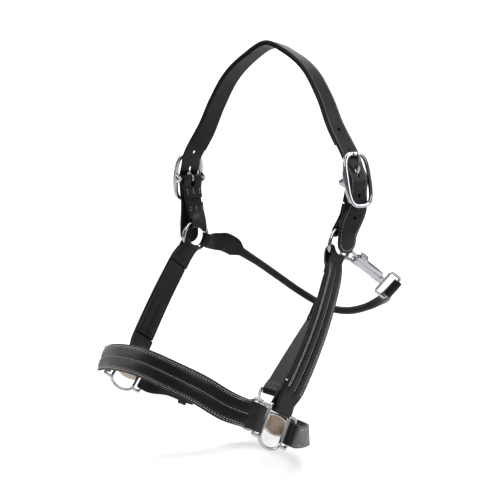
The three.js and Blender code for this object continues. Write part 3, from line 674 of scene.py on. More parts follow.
def rounded_path(corners, radius, closed=True, steps=6):
    """A path through corners, each turned with the given radius; points are 3-D."""
    count = len(corners)
    path = []
    for i, corner in enumerate(corners):
        if not closed and i in (0, count - 1):
            path.append(corner.copy())
            continue
        before, after = corners[i - 1], corners[(i + 1) % count]
        r = min(radius, (before - corner).length / 2, (after - corner).length / 2)
        a = corner + unit(before - corner) * r
        b = corner + unit(after - corner) * r
        for k in range(steps + 1):
            t = k / steps
            path.append(a.lerp(corner, t).lerp(corner.lerp(b, t), t))
    return path


def evenly(points, step, closed=False):
    """The same path with points about step apart."""
    loop = [*points, points[0]] if closed else points
    ends = [0, *accumulate((b - a).length for a, b in zip(loop, loop[1:]))]
    count = max(round(ends[-1] / step), 3)
    result = []
    for i in range(count if closed else count + 1):
        goal = ends[-1] * i / count
        k = min(max(bisect_left(ends, goal) - 1, 0), len(ends) - 2)
        result.append(loop[k].lerp(loop[k + 1], (goal - ends[k]) / max(ends[k + 1] - ends[k], 1e-9)))
    return result


def add_wire(bm, points, radius, normal, closed=False, sides=18, flatten=1.0, boxy=1.0):
    """A wire along points; radius is a number or a function of the share of the way along.

    A boxy value under 1 flattens the section's faces, as on a casting.
    """
    rings = []
    count = len(points)
    section = loop_of(sides, boxy)
    for i, p in enumerate(points):
        if closed:
            tangent = unit(points[(i + 1) % count] - points[i - 1])
        else:
            tangent = unit(points[min(i + 1, count - 1)] - points[max(i - 1, 0)])
        r = radius(i / (count - 1)) if callable(radius) else radius
        up = across(normal, tangent)
        side = up.cross(tangent)
        rings.append([p + side * (r * c) + up * (r * flatten * s) for c, s in section])
    add_rings(bm, rings, closed_path=closed)


def add_ball(bm, centre, radius, squash=(1, 1, 1)):
    matrix = Matrix.Translation(centre) @ Matrix.Diagonal((*squash, 1))
    bmesh.ops.create_uvsphere(bm, u_segments=20, v_segments=12, radius=radius, matrix=matrix)


def add_turned(bm, profile, sides=32, centre=V(0, 0, 0)):
    """A solid turned about z from (radius, z) pairs, the z rising."""
    section = loop_of(sides)
    add_rings(bm, [[centre + V(r * c, r * s, z) for c, s in section] for r, z in profile])


def add_block(bm, centre, size, soft):
    """A box with rounded edges."""
    matrix = Matrix.Translation(centre) @ Matrix.Diagonal((*size, 1))
    made = bmesh.ops.create_cube(bm, size=1, matrix=matrix)
    edges = {e for v in made["verts"] for e in v.link_edges}
    bmesh.ops.bevel(bm, geom=list(edges), offset=soft, segments=3, profile=0.5, affect="EDGES")


def carved(bm, cutters, joined=()):
    """The mesh of bm with the joined solids added to it and then each cutter taken out."""
    made = []
    for k, source in enumerate([bm, *joined, *cutters]):
        mesh = bpy.data.meshes.new("carving")
        source.to_mesh(mesh)
        source.free()
        for material in STRAP:
            mesh.materials.append(material)
        if k:
            mesh.polygons.foreach_set("material_index", [1] * len(mesh.polygons))
        made.append(add_object("carving", mesh))
    body, *others = made
    for k, other in enumerate(others):
        modifier = body.modifiers.new("carve", "BOOLEAN")
        modifier.operation = "UNION" if k < len(joined) else "DIFFERENCE"
        modifier.solver = "EXACT"
        modifier.object = other
    evaluated = body.evaluated_get(bpy.context.evaluated_depsgraph_get())
    result = bpy.data.meshes.new_from_object(evaluated)
    for obj in made:
        bpy.data.objects.remove(obj)
    return result


def placed(bm, matrix):
    bmesh.ops.transform(bm, matrix=matrix, verts=bm.verts)
    return bm


# ---- rings


def ring_look(name, centre, axis, radius, body):
    bm = bmesh.new()
    circle = [V(radius * c, radius * s, 0) for c, s in loop_of(96)]
    add_wire(bm, circle, RING_WIRE, UP, closed=True, sides=24)
    look(name, placed(bm, placement(centre, UP.cross(axis), UP)), [CHROME], body)


for side in SIDES:
    ring_axis = side.ring_back.cross(UP)
    ring_look(f"{side.name}_side_ring", side.ring, ring_axis, RING_RADIUS, f"{side.name}_ring")
ring_look("lead_ring", LEAD_RING, LEAD_AXIS, LEAD_RING_RADIUS, "lead_ring")


# ---- buckles


def buckle_frame():
    """An oval frame with broad polished rails, and ears that carry the bar behind it."""
    bm = bmesh.new()
    a = (BUCKLE.width - BUCKLE.wire) / 2
    b = (BUCKLE.length - BUCKLE.wire) / 2

    def rail(share):
        return BUCKLE.wire / 2 * (1.04 + 0.14 * cos(4 * pi * share))

    path = evenly([V(a * c, b * s, 0) for c, s in loop_of(240, 2 / 3.4)], 1.1, closed=True)
    add_wire(bm, path, rail, UP, closed=True, sides=28, flatten=0.9, boxy=0.66)
    drop = BUCKLE.bar_drop
    for x in (-a, a):
        rings = []
        for share in (0, 0.15, 0.4, 0.7, 0.9, 1):
            z = lerp(0.4, -drop - BUCKLE.bar - 0.6, share)
            long, wide = lerp(9.5, 3.2, share**0.7), lerp(1.75, 1.45, share)
            rings.append([V(x + wide * c, long * s, z) for c, s in loop_of(24, 0.65)][::-1])
        add_rings(bm, rings)
    bar = [V(x, 0, -drop) for x in (-a, -a / 2, 0, a / 2, a)]
    add_wire(bm, bar, BUCKLE.bar, UP, sides=20)
    return bm


def buckle_tongue():
    """A pin coiled once round the bar, lying through the hole and over the frame's top."""
    bm = bmesh.new()
    eye = BUCKLE.bar + PLAY + TONGUE_WIRE
    coil = arc_of(0.2 * pi, -1.55 * pi, 10)[::-1]
    knots = [V(0, eye * c, eye * s - BUCKLE.bar_drop) for c, s in coil]
    knots += [V(0, y, z) for y, z in ((6, -1), (10, 2.4), (17, 4.2), (24, 4.7), (28.5, 4.5))]
    path = [curve_point(knots, i / 80)[0] for i in range(81)]

    def radius(t):
        return TONGUE_WIRE * lerp(lerp(1, 1.12, smooth(t, 0.5, 0.7)), 0.55, smooth(t, 0.9, 1))

    add_wire(bm, path, radius, V(1, 0, 0))
    add_ball(bm, path[0], TONGUE_WIRE * 0.98)
    return bm


for side in SIDES:
    frame_bm = placed(buckle_frame(), side.buckle_frame)
    tongue_bm = placed(buckle_tongue(), side.buckle_frame)
    look(f"{side.name}_buckle_frame", frame_bm, [CHROME], f"{side.name}_buckle")
    look(f"{side.name}_buckle_tongue", tongue_bm, [CHROME], f"{side.name}_tongue")


# ---- stays: side ring to buckle

STAY = Named(angle=atan2(0.98, 0.19), tail=24, end=12, ply_stitches=8)

for side in SIDES:
    bar, outside = side.bar_centre, side.buckle_out
    upper = Hold(bar, side.bar, side.ring - bar, outside, BUCKLE.bar, STAY_THICK)
    lower = side.ring_hold(STAY.angle, bar - side.ring, outside, RING_WIRE + LOOSE, STAY_THICK, RING_FOLD)
    run = held_strap(upper, [], lower, tail=STAY.tail, step=1)
    rows = (-8.4, 0, 8.4)
    sewn_to = run.total - STAY.end
    ribs = quilted(rows, 0.7, STAY.end, sewn_to, STRAP_WIDTH)
    bm = strap_mesh(run.strap, run.before, profile=ribs, bend=lower)
    slot_length = 2 * upper.radius + TONGUE_SLOT.past
    slot_middle = V(0, TONGUE_SLOT.centre - slot_length / 2, 0)
    knife = bmesh.new()
    add_block(knife, slot_middle, (TONGUE_SLOT.width, slot_length, TONGUE_SLOT.depth), 1.2)
    placed(knife, placement(bar, side.bar, -upper.away))
    name = f"{side.name}_stay"
    look(name, carved(bm, [knife]), STRAP)
    inner = 1.5 * STAY_THICK + GAP
    first_ply = (rows, STAY.end, STAY.end + STAY.ply_stitches, inner)
    last_ply = (rows, sewn_to - STAY.ply_stitches, sewn_to, inner)
    sew(name, run, [(rows, STAY.end - 1, sewn_to), first_ply, last_ply], ribs, lower)


# ---- headpiece


def crown_rows(side):
    """The headpiece's centre line on one side, from the poll down to the billet's tip."""
    crown = [(27, -1, -8, 0.35), (50, -2.5, -27, 0.62), (69, -4.5, -57, 0.85), (82, -7, -85, 0.91)]
    sign, out = side.sign, side.buckle_out
    full_twist = atan2(side.bar.x, side.bar.y)
    rows = []
    for i, (x, y, z, lean) in enumerate(crown):
        twist = full_twist * (i + 1) / (len(crown) + 1)
        hint = V(sign * lean * cos(twist), -sign * lean * sin(twist), 1 - lean)
        rows.append(Row(V(sign * x, y, z), hint))
    clear = BUCKLE.wire / 2 + BUCKLE.play + STRAP_THICK / 2
    passes = [(26, -clear), (13, -clear + 3.2), (0, 0.4), (-13, -clear + 3.2), (-26, -clear + 0.4)]
    rows += [Row(side.buckle + side.buckle_up * high + out * proud, out) for high, proud in passes]
    for x, y, z in ((10.2, 1, 14), (9, 0, -8)):
        rows.append(Row(side.ring + V(sign * x, y + side.tip_back, z), out))
    return rows


def round_tip(run, steps=16):
    """Stations for the last stretch of a run, narrowed to a rounded tip."""
    tip = []
    for k in range(1, steps + 1):
        share = sin(0.5 * pi * k / steps * 0.985)
        station = run.at(run.total - TIP + TIP * share)
        tip.append(replace(station, width=station.width * sqrt(1 - share * share)))
    return tip


def tip_stitches(bm, run, profile):
    """Stitches that follow a rounded tip, a little inside its outline."""
    a, b = STRAP_WIDTH / 2 - EDGE_INSET, TIP - EDGE_INSET
    count = int(pi * sqrt((a * a + b * b) / 2) / STITCH.pitch)
    for c, s in arc_of(0, pi, count):
        at = run.at(run.total - TIP + b * s)
        point = at.point + at.across * (a * c) + at.out * (at.thick / 2 + profile(a * c, 0))
        along = unit(at.across * (-a * s) + at.across.cross(at.out) * (b * c))
        add_stitch(bm, point, along, unit(at.out.cross(along)), at.out)


poll_height = CROWN_LINING_THICK + SEAM + STRAP_THICK / 2
poll = Row(UP * poll_height, UP)
crown = run_through([*crown_rows(OFF)[::-1], poll, *crown_rows(NEAR)], STRAP_THICK)
edge_rows = (EDGE_INSET - STRAP_WIDTH / 2, STRAP_WIDTH / 2 - EDGE_INSET)
crown_profile = creased(edge_rows, 0.3)
between_tips = crown.cut(TIP, crown.total - TIP)
crown_stations = [*round_tip(crown.reversed())[::-1], *between_tips, *round_tip(crown)]

knives = []
for side in SIDES:
    nearest = min(range(len(crown.stations)), key=lambda i: (crown.stations[i].point - side.buckle).length)
    over_bar = crown.along[nearest]
    for i in range(-HOLE.each, HOLE.each + 1):
        station = crown.at(over_bar - side.sign * (i * HOLE.pitch + HOLE.first))
        knife = bmesh.new()
        add_turned(knife, [(HOLE.radius, -HOLE.depth / 2), (HOLE.radius, HOLE.depth / 2)], sides=24)
        if i == 0:
            bmesh.ops.scale(knife, vec=(USED_HOLE.wider, USED_HOLE.longer, 1), verts=knife.verts)
        backwards = station.out.cross(station.across)
        knives.append(placed(knife, placement(station.point, station.across, backwards)))
look("headpiece", carved(strap_mesh(crown_stations, profile=crown_profile), knives), STRAP)

thread = bmesh.new()
for x in edge_rows:
    stitch_line(thread, crown, x, TIP, crown.total - TIP, crown_profile)
for end_run in (crown, crown.reversed()):
    tip_stitches(thread, end_run, crown_profile)
piece("headpiece_stitches", thread, [THREAD])

lined = [crown.total / 2 + sign * CROWN_LINING_REACH for sign in (-1, 1)]
lining_bm = strap_mesh(lining_of(crown, *lined, CROWN_LINING_THICK, SEAM - 0.3), rounding=0.8)
look("headpiece_lining", lining_bm, LINING)


# ---- noseband fittings


def fitting_frame():
    """A round-wire frame: a D between two inner bars, and a narrow slot beyond each of them."""
    bm = bmesh.new()
    r, inner, reach, top = FITTING.wire / 2, FITTING.inner, FITTING.reach, FITTING.top
    slot = FITTING.slot + r
    shoulder = 2 - slot
    depth = FITTING.bulge + FITTING.slot + r + shoulder
    corners = [(-inner, shoulder), (-inner, top), (inner, top), (inner, shoulder)]
    loop = rounded_path([V(x, y, 0) for x, y in corners], 2.6, closed=False)
    loop += [V(inner * c, shoulder - depth * s, 0) for c, s in arc_of(0, pi, 12)[1:-1]]
    add_wire(bm, evenly(loop, 1.0, closed=True), r, UP, closed=True, sides=20)
    for sign in (-1, 1):
        around = [(inner, slot), (reach, slot), (reach, -slot), (inner, -slot)]
        ear = rounded_path([V(sign * x, y, 0) for x, y in around], 3.2, closed=False)
        add_wire(bm, evenly(ear, 0.9), r * 0.97, UP, sides=20)
        for y in (-slot, slot):
            add_ball(bm, V(sign * inner, y, 0), r * 1.22, (1.15, 1, 0.95))
            add_ball(bm, V(sign * (reach - 1.4), y * 0.985, 0), r * 1.12, (1.5, 1, 0.95))
    return bm


def fitting_plate():
    """A barrel-shaped plate with a bright bevelled rim and a slightly sunk satin face."""
    bm = bmesh.new()
    half_x = FITTING.inner - FITTING.wire / 2 - 0.1
    t = PLATE.thick / 2
    steps = [i / 20 for i in range(21)]
    rings = []
    for inset, z in ((0.5, -t), (0, -t + 0.4), (0, t - 0.5), (0.55, t), (1.0, t), (1.25, t - 0.25)):
        ring = []
        for sign in (-1, 1):
            for u in steps:
                x = sign * lerp(inset - half_x, half_x - inset, u)
                y = sign * (PLATE.half - inset + 4 * PLATE.crown * u * (1 - u))
                ring.append(V(x, y + PLATE.raised, z))
        rings.append(ring)
    add_rings(bm, rings)
    for face in bm.faces:
        sunk = face.calc_center_median().z > t - 0.3 and len(face.verts) == 3
        face.material_index = 0 if sunk else 1
    return bm


for side in SIDES:
    name = f"{side.name}_fitting"
    look(name, placed(fitting_frame(), side.fitting_frame), [CHROME])
    plate_bm = fitting_plate()
    if side.outward.dot(side.back.cross(side.up)) < 0:
        bmesh.ops.scale(plate_bm, vec=(1, 1, -1), verts=plate_bm.verts)
        bmesh.ops.reverse_faces(plate_bm, faces=plate_bm.faces)
    placed(plate_bm, side.fitting_frame)
    look(f"{name}_plate", plate_bm, [CHAMPAGNE, BRIGHT_RIM])


# ---- cheekpieces

QUILT = 0.8
CHEEK = Named(tail=23, sewn_from=13, sewn_short=17, lined_from=24.5)
CHEEK_ROWS = (-10.1, -8.5, 0, 8.5, 10.1)


def quilted_strap(node, run, places, sewn_from, sewn_to, width, bend=None):
    """A strap padded between its rows of stitching, and the stitching."""
    quilt = quilted(places, QUILT, sewn_from, sewn_to, width)
    look(node, strap_mesh(run.strap, run.before, quilt, bend=bend), STRAP)
    sew(node, run, [(places, sewn_from, sewn_to)], quilt, bend)


def padded_lining(node, run, start, end, rows):
    """A stuffed lining, crowned between the rows that sew it to its strap."""
    width = run.at(run.total / 2).width - 2 * LINING_INSET
    crown_under = quilted(rows, 1.3, start + 5, end - 5, width, fade=6, groove=0.9)
    stations = lining_of(run, start, end, LINING_THICK, SEAM - 0.35)
    for i, station in enumerate(stations):
        from_end = min(i, len(stations) - 1 - i)
        station.thick *= lerp(0.55, 1, smooth(from_end, 0, 4))
    bm = strap_mesh(stations, start, under=crown_under, rounding=1.7)
    look(node, bm, LINING)


for side in SIDES:
    top_bar = side.fitting + side.up * FITTING.top
    towards = top_bar - side.ring
    angle = atan2(towards.z, towards.dot(side.ring_back))
    upper = side.ring_hold(angle, towards, V(side.sign, 0, 0), RING_WIRE + LOOSE, width=RING_FOLD)
    lower = Hold(top_bar, side.back, -towards, side.outward, FITTING.wire / 2, width=FOLD_WIDTH)
    via = []
    for t in (0.12, 0.5, 0.87):
        bow = V(side.sign * 4 * side.cheek_bow * t * (1 - t), 0, 0)
        via.append(Row(upper.start.lerp(lower.start, t) + bow, upper.out.lerp(lower.out, t)))
    run = held_strap(upper, via, lower, tail=CHEEK.tail, step=1.5)
    sewn_to = run.total - CHEEK.sewn_short
    name = f"{side.name}_cheekpiece"
    quilted_strap(name, run, CHEEK_ROWS, CHEEK.sewn_from, sewn_to, STRAP_WIDTH, upper)
    lined_to = run.total - CHEEK.lined_from
    padded_lining(f"{side.name}_cheek_lining", run, CHEEK.lined_from, lined_to, CHEEK_ROWS[1:4])


# ---- noseband

NOSE = Named(tail=24, end_tail=13, sewn_from=16, sewn_short=30, lined_from=26, lined_short=42)
NOSE_ROWS = (-10.6, -9.2, 0, 9.2, 10.6)


def bar_hold(side, sign, towards, width):
    """A hold on a fitting's end bar: the front one at sign -1, the rear one at sign 1."""
    bar = side.fitting + side.back * (sign * FITTING.reach)
    return Hold(bar, side.up, towards, side.outward, FITTING.wire / 2, width=width)


start = bar_hold(NEAR, -1, V(-0.25, -0.75, 0.55), FOLD_WIDTH)
end = bar_hold(OFF, -1, V(0.05, -0.75, 0.55), FOLD_WIDTH)
route = [
    (71, -187, -324, 0.62, -0.68, 0.38),
    (52, -199, -310, 0.35, -0.83, 0.43),
    (30, -206, -301, 0.15, -0.88, 0.45),
    (-5, -206, -295, -0.05, -0.88, 0.45),
    (-40, -197, -299, -0.25, -0.86, 0.43),
    (-70, -184, -307.5, -0.45, -0.8, 0.4),
    (-88, -174, -315, -0.85, -0.45, 0.27),
]
via = rows_of(route, NOSEBAND_WIDTH)
run = held_strap(start, via, end, tail=NOSE.tail, end_tail=NOSE.end_tail)
sewn_to = run.total - NOSE.sewn_short
quilted_strap("noseband", run, NOSE_ROWS, NOSE.sewn_from, sewn_to, NOSEBAND_WIDTH)
padded_lining("noseband_lining", run, NOSE.lined_from, run.total - NOSE.lined_short, NOSE_ROWS[1:4])


# ---- chin strap and keeper

CHIN_CREASE = 8.6
CHIN_STITCHES = Named(rows=(-7.1, 7.1), near=9, far=22)

start = bar_hold(OFF, 1, V(0.8, 0.45, -0.3), CHIN_FOLD)
end = bar_hold(NEAR, 1, V(-0.05, 0.85, -0.5), CHIN_FOLD)
route = [
    (-64, -104, -360, -0.5, 0.83, 0.1),
    (-45, -92, -369, -0.5, 0.83, 0.1),
    (-26, -77, -378, -0.5, 0.83, 0.1),
    (-9, -50, -396, -0.6, 0.8, 0),
    (5, -42, -400, -0.4, 0.9, 0),
    (16, -40, -402, -0.15, 0.98, 0),
    (34, -39, -404, -0.05, 0.99, 0),
    (57, -42, -403, 0.3, 0.95, 0),
    (79, -56, -398, 0.6, 0.75, 0),
    (91, -80, -388, 0.95, 0.3, 0),
]
run = held_strap(start, rows_of(route, CHIN_WIDTH), end, tail=58, end_tail=20)
crease = creased((-CHIN_CREASE, CHIN_CREASE))
look("chin_strap", strap_mesh(run.strap, run.before, profile=crease), STRAP)
at_start = (CHIN_STITCHES.rows, CHIN_STITCHES.near, CHIN_STITCHES.far)
at_end = (CHIN_STITCHES.rows, run.total - CHIN_STITCHES.far, run.total - CHIN_STITCHES.near)
sew("chin_strap", run, [at_start, at_end], crease)


def keeper():
    """A loop round both plies, with a raised ridge along each edge."""
    bm = bmesh.new()
    half_x = CHIN_WIDTH / 2 + KEEPER.play + KEEPER.wall / 2
    half_y = (2 * STRAP_THICK + GAP + KEEPER.play + KEEPER.wall) / 2
    corners = [V(x * half_x, y * half_y, 0) for x, y in ((-1, -1), (1, -1), (1, 1), (-1, 1))]
    path = evenly(rounded_path(corners, 1.8), 0.8, closed=True)
    long, t = KEEPER.length / 2, KEEPER.wall / 2
    outline = []
    for i in range(25):
        z = lerp(-long + 0.5, long - 0.5, i / 24)
        ridge = 0.55 * exp(-(((abs(z) - long * 0.52) / 0.75) ** 2))
        outline.append((t + ridge, z))
    outline += [(t * 0.6, long), (-t * 0.6, long), (-t, long - 0.4)]
    outline += [(-t, -long + 0.4), (-t * 0.6, -long), (t * 0.6, -long)]
    rings = []
    for i, p in enumerate(path):
        away = unit(path[(i + 1) % len(path)] - path[i - 1]).cross(UP)
        rings.append([p + away * a + UP * z for a, z in outline])
    add_rings(bm, rings, closed_path=True)
    bmesh.ops.recalc_face_normals(bm, faces=bm.faces)
    return bm


at = run.at(KEEPER.at)
middle = at.point - at.out * (STRAP_THICK + GAP) / 2
look("chin_keeper", placed(keeper(), placement(middle, at.across, at.out)), [LEATHER], "chin_keeper")


# ---- jowl dee


def dee_link():
    bm = bmesh.new()
    half = DEE.bar / 2
    path = [V(-half, 1.2, 0), V(half, 1.2, 0)]
    path += [V(half * c, -DEE.depth * s, 0) for c, s in arc_of(0, pi, 40)]
    add_wire(bm, evenly(path, 0.8, closed=True), DEE.wire, UP, closed=True, sides=20)
    return bm


dee_frame = placement(DEE_BAR, DEE_ALONG, -DEE_DOWN)
look("jowl_dee", placed(dee_link(), dee_frame), [CHROME], "jowl_dee")


# ---- snap


def snap_body():
    """A turned barrel, a rail along it, and a hook bent round the ring's wire, as separate solids."""
    barrel, rail, hook = bmesh.new(), bmesh.new(), bmesh.new()
    front, rear, back = SNAP.front, SNAP.rear, RAIL.rear
    nose = ((0.35, -1.2), (0.72, -0.8), (0.95, 0.4), (1, 2), (1, 9), (0.92, 10.2), (0.9, 20))
    tail = ((0.9, 16), (0.96, 13), (1, 12), (1, 8.5), (0.86, 7.8), (0.86, 6.4), (1, 5.6), (1, 1.2))
    turned = [(share, front + z) for share, z in nose]
    turned += [(share, rear - z) for share, z in (*tail, (0.88, 0.3), (0.6, 0))]
    add_turned(barrel, [(SNAP.radius * share, z) for share, z in turned], sides=40)
    rings = []
    swells = ((front - 0.7, 0.7), (front - 0.1, 0.94), (front + 0.8, 1), (back - 1.6, 1), (back, 0.7))
    for z, swell in swells:
        wide = RAIL.radius * swell
        rings.append([V(wide * c, RAIL.height + wide * s, z) for c, s in loop_of(28, 0.72)])
    add_rings(rail, rings)
    route = [V(0, -1.6, front + 3), V(0, -2.6, front + 0.6), V(0, -4.6, front - 3)]
    route += [V(0, SNAP.hook * c, SNAP.hook * s) for c, s in arc_of(pi, 0.76 * pi, 8)]
    path = [curve_point(route, i / 70)[0] for i in range(71)]

    def radius(t):
        root = 1 - smooth(t, 0, 0.28)
        return SNAP.hook_wire * (1 + 0.35 * root) * lerp(1, 0.4, smooth(t, 0.93, 1) ** 2)

    add_wire(hook, path, radius, V(1, 0, 0), sides=20)
    return [barrel, rail, hook]


def rail_cutters():
    """What the bolt, its neck and the eye's post need clear inside the body."""
    bore, slot, post = bmesh.new(), bmesh.new(), bmesh.new()
    front, height, play = SNAP.front, RAIL.height, 0.4
    add_turned(bore, [(RAIL.bore, front - 4), (RAIL.bore, RAIL.rear - 3)], centre=V(0, height, 0))
    add_block(slot, V(0, height + 3, front + 8.5), (2.2, 6, 24), 0.5)
    head, stem, end = POST.head + play, POST.radius + play, POST.head_to + play
    sunk = [(head, POST.head_from - play), (head, end), (stem, end + 0.01), (stem, SNAP.rear + 1)]
    add_turned(post, sunk)
    return [bore, slot, post]


def snap_bolt():
    """The bolt with its domed tip, and a ridged thumb block on a neck through the rail's slot."""
    bm = bmesh.new()
    height, r, thumb_z = RAIL.height, BOLT.radius, SNAP.front + 5
    tip, end = BOLT.tip, BOLT.rear
    turned = [(r * 0.45, tip), (r * 0.85, tip + 0.5), (r, tip + 1.4), (r, end - 0.4), (r * 0.8, end)]
    add_turned(bm, turned, sides=24, centre=V(0, height, 0))
    base = height + RAIL.radius + 0.6
    add_block(bm, V(0, height + 2.6, thumb_z), (1.6, 5, 6), 0.3)
    add_block(bm, V(0, base + 1.3, thumb_z), (7.2, 2.6, 11), 0.9)
    for i in range(4):
        add_block(bm, V(0, base + 2.6, thumb_z - 3.6 + 2.4 * i), (6.0, 1.4, 1.25), 0.45)
    return bm


def snap_spring():
    """The coil behind the bolt, inside the rail."""
    bm = bmesh.new()
    count = SPRING.turns * 24
    path = []
    for i, (c, s) in enumerate(arc_of(0, tau * SPRING.turns, count)):
        z = lerp(SPRING.front, SPRING.rear, i / count)
        path.append(V(SPRING.radius * c, RAIL.height + SPRING.radius * s, z))
    add_wire(bm, path, SPRING.wire, UP, sides=10)
    return bm


def snap_eye():
    """The swivel's headed post, its collar, and the rectangular loop that takes the strap."""
    bm = bmesh.new()
    w, near = EYE.wire, EYE.near
    half, low, high = (EYE.width + w) / 2, near + w / 2, near + EYE.depth + 1.5 * w
    corners = [V(-half, 0, low), V(half, 0, low), V(half, 0, high), V(-half, 0, high)]
    loop = evenly(rounded_path(corners, 3.4), 0.9, closed=True)
    add_wire(bm, loop, w / 2, V(0, 1, 0), closed=True, sides=22)
    head, stem, rear = POST.head, POST.radius, SNAP.rear
    post = [(head * 0.8, POST.head_from), (head, POST.head_from + 0.5), (head, POST.head_to - 0.4)]
    post += [(stem, POST.head_to), (stem, rear + 0.9), (3.4, rear + 1.3)]
    post += [(3.7, near - 0.9), (3.1, near + 0.4), (2.2, near + 1.6)]
    add_turned(bm, post)
    return bm


thumb_frame = placement(SNAP_WIRE, SNAP_THUMB.cross(SNAP_AXIS), SNAP_THUMB)
eye_frame = placement(SNAP_WIRE, EYE_ACROSS, SNAP_AXIS.cross(EYE_ACROSS))
barrel, *joined = [placed(part, thumb_frame) for part in snap_body()]
body_mesh = carved(barrel, [placed(knife, thumb_frame) for knife in rail_cutters()], joined)
look("snap_body", body_mesh, [CHROME, CHROME], "snap_body")
look("snap_bolt", placed(snap_bolt(), thumb_frame), [CHROME], "snap_bolt")
spring = look("snap_spring", placed(snap_spring(), thumb_frame), [SPRING_STEEL], "snap_body")
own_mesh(spring)
look("snap_eye", placed(snap_eye(), eye_frame), [CHROME])


# ---- throat lash


def lash_section(station):
    """A section that is boxy where the lash is a flat tab and round where it is a cord."""
    roundness = smooth(station.thick / max(station.width, 1e-6), 0.35, 0.85)
    x, y = station.across * (station.width / 2), station.out * (station.thick / 2)
    return [station.point + x * c + y * s for c, s in loop_of(36, 2 / lerp(5, 2, roundness), 0.5)]


cord = 2 * LASH_RADIUS
route = [
    (-75, 19, -219.5, -0.7, 0.6, 0, TAB_WIDTH, 5),
    (-67.5, 30, -226.5, -0.7, 0.6, 0.2, TAB_WIDTH - 1, 5.5),
    (-62.5, 37.5, -232.5, -0.65, 0.6, 0.3, 11.5, 8.6),
    (-50, 56, -247, -0.6, 0.6, 0.4, cord, cord),
    (-33, 78, -267, -0.5, 0.6, 0.5, cord, cord),
    (-13, 97, -287, -0.3, 0.7, 0.5, cord, cord),
    (10, 106, -301, 0, 0.8, 0.5, cord, cord),
    (32, 106, -307, 0.1, 0.9, 0.3, cord, cord),
    (56, 102, -305, 0.2, 0.9, 0.2, cord, cord),
    (78, 98, -297, 0.3, 0.9, 0.2, cord, cord),
    (98, 92, -285, 0.5, 0.8, 0, 11.5, 8.6),
]
angle = atan2(-0.39, 0.92)
tab_hold = OFF.ring_hold(angle, V(0.42, 0.85, -0.3), V(-0.9, 0.42, 0), RING_WIRE, width=TAB_FOLD)
wire = SNAP_WIRE + SNAP_AXIS * (EYE.near + EYE.depth + 1.5 * EYE.wire)
towards = V(-0.5, 0.85, -0.15)
eye_hold = Hold(wire, EYE_ACROSS, towards, SNAP_AXIS, EYE.wire / 2, width=EYE_STRAP_WIDTH)
lash = held_strap(tab_hold, rows_of(route), eye_hold, tail=20, end_tail=12, step=1.5)
bm = bmesh.new()
add_rings(bm, [follow_ring(lash_section(station), tab_hold) for station in lash.strap])
look("throat_lash", bm, [LEATHER])
rows = (-6.4, 6.4)
sew("throat_lash", lash, [(rows, 12, 30), (rows, lash.total - 17, lash.total - 9)], bend=tab_hold)


# ---- jowl strap

nearest = min(lash.stations, key=lambda station: abs(station.point.x - JOWL_AT))
point, along, outside = nearest.point, nearest.across.cross(nearest.out), V(0, 0.52, -0.85)
upper = Hold(point, along, DEE_BAR - point, outside, LASH_RADIUS + 1, STAY_THICK, JOWL_WIDTH)
dee_inside = 2 * (DEE.bar / 2 - DEE.wire) - 1.4
lower = Hold(DEE_BAR, DEE_ALONG, point - DEE_BAR, outside, DEE.wire, STAY_THICK, dee_inside)
run = held_strap(upper, [], lower, tail=26, end_tail=13)
jowl_bm = strap_mesh(run.strap, run.before, profile=creased((-7.4, 7.4)), rounding=1.1)
look("jowl_strap", jowl_bm, STRAP)
rows = (-6, 6)
front_ends = [(rows, 12, 30), (rows, run.total - 19, run.total - 8)]
sew("jowl_strap", run, [*front_ends, (rows, 14, 28, 1.5 * STAY_THICK + GAP)])


# ---- stage

FLOOR = Named(below=0.012, reach=3.0, bend_at=1.35, bend=0.9, height=3.2, turned=radians(32.6))
CENTRE = (0, -0.06, -0.2)
WORLD_LIGHT = 0.2


def facing(direction):
    """The turn that points a light or a camera this way."""
    return Vector(direction).to_track_quat("-Z", "Y").to_euler()


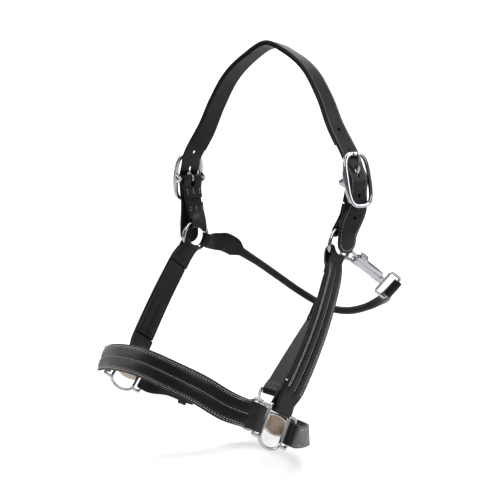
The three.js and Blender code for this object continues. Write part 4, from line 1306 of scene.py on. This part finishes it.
def area_light(name, place, target, size, power):
    data = bpy.data.lights.new(name, "AREA")
    data.shape = "RECTANGLE"
    data.size, data.size_y = size
    data.energy = power
    light = add_object(name, data)
    light.location = place
    light.rotation_euler = facing(Vector(target) - Vector(place))


# Pale paper lies under the object and curves up behind it.
paper = [(-FLOOR.reach, 0), (FLOOR.bend_at, 0)]
paper += [(FLOOR.bend_at + FLOOR.bend * s, FLOOR.bend * (1 - c)) for c, s in arc_of(0, pi / 2, 16)[1:]]
paper.append((FLOOR.bend_at + FLOOR.bend, FLOOR.height))
level = CAD_BOUNDS[0][2] - FLOOR.below
bm = bmesh.new()
left, right = [[bm.verts.new((x, y, z + level)) for y, z in paper] for x in (-FLOOR.reach, FLOOR.reach)]
for i in range(len(paper) - 1):
    bm.faces.new((left[i], right[i], right[i + 1], left[i + 1]))
mesh = bpy.data.meshes.new("floor")
bm.to_mesh(mesh)
bm.free()
mesh.shade_smooth()
mesh.materials.append(new_material("floor_paper", Base_Color=(0.9, 0.9, 0.9, 1), Roughness=0.9)[0])
floor = add_object("floor", mesh)
floor.rotation_euler.z = FLOOR.turned

area_light("key_softbox", (0.95, -1.2, 1.25), CENTRE, (0.9, 1.2), 16)
area_light("fill_softbox", (-1.7, -0.5, 0.5), CENTRE, (0.7, 1.3), 9)
area_light("top_softbox", (0.0, 0.4, 2.4), CENTRE, (3.0, 3.0), 50)
area_light("backdrop_softbox", (-0.35, 0.55, 1.9), (-1.1, 1.75, 0.0), (2.4, 0.7), 46)
area_light("rim_softbox", (1.5, 1.0, 0.6), CENTRE, (0.6, 1.3), 9)

scene = bpy.context.scene
scene.world = bpy.data.worlds.new("studio")
scene.world.use_nodes = True
set_inputs(scene.world.node_tree.nodes["Background"], Color=(1, 1, 1, 1), Strength=WORLD_LIGHT)
scene.view_settings.view_transform = "Standard"

lens = bpy.data.cameras.new("camera")
lens.lens = 43.7
lens.sensor_width = 36
scene.camera = add_object("camera", lens)
scene.camera.location = (0.3472, -0.5837, -0.1215)
scene.camera.rotation_euler = facing((-0.533, 0.834, -0.145))
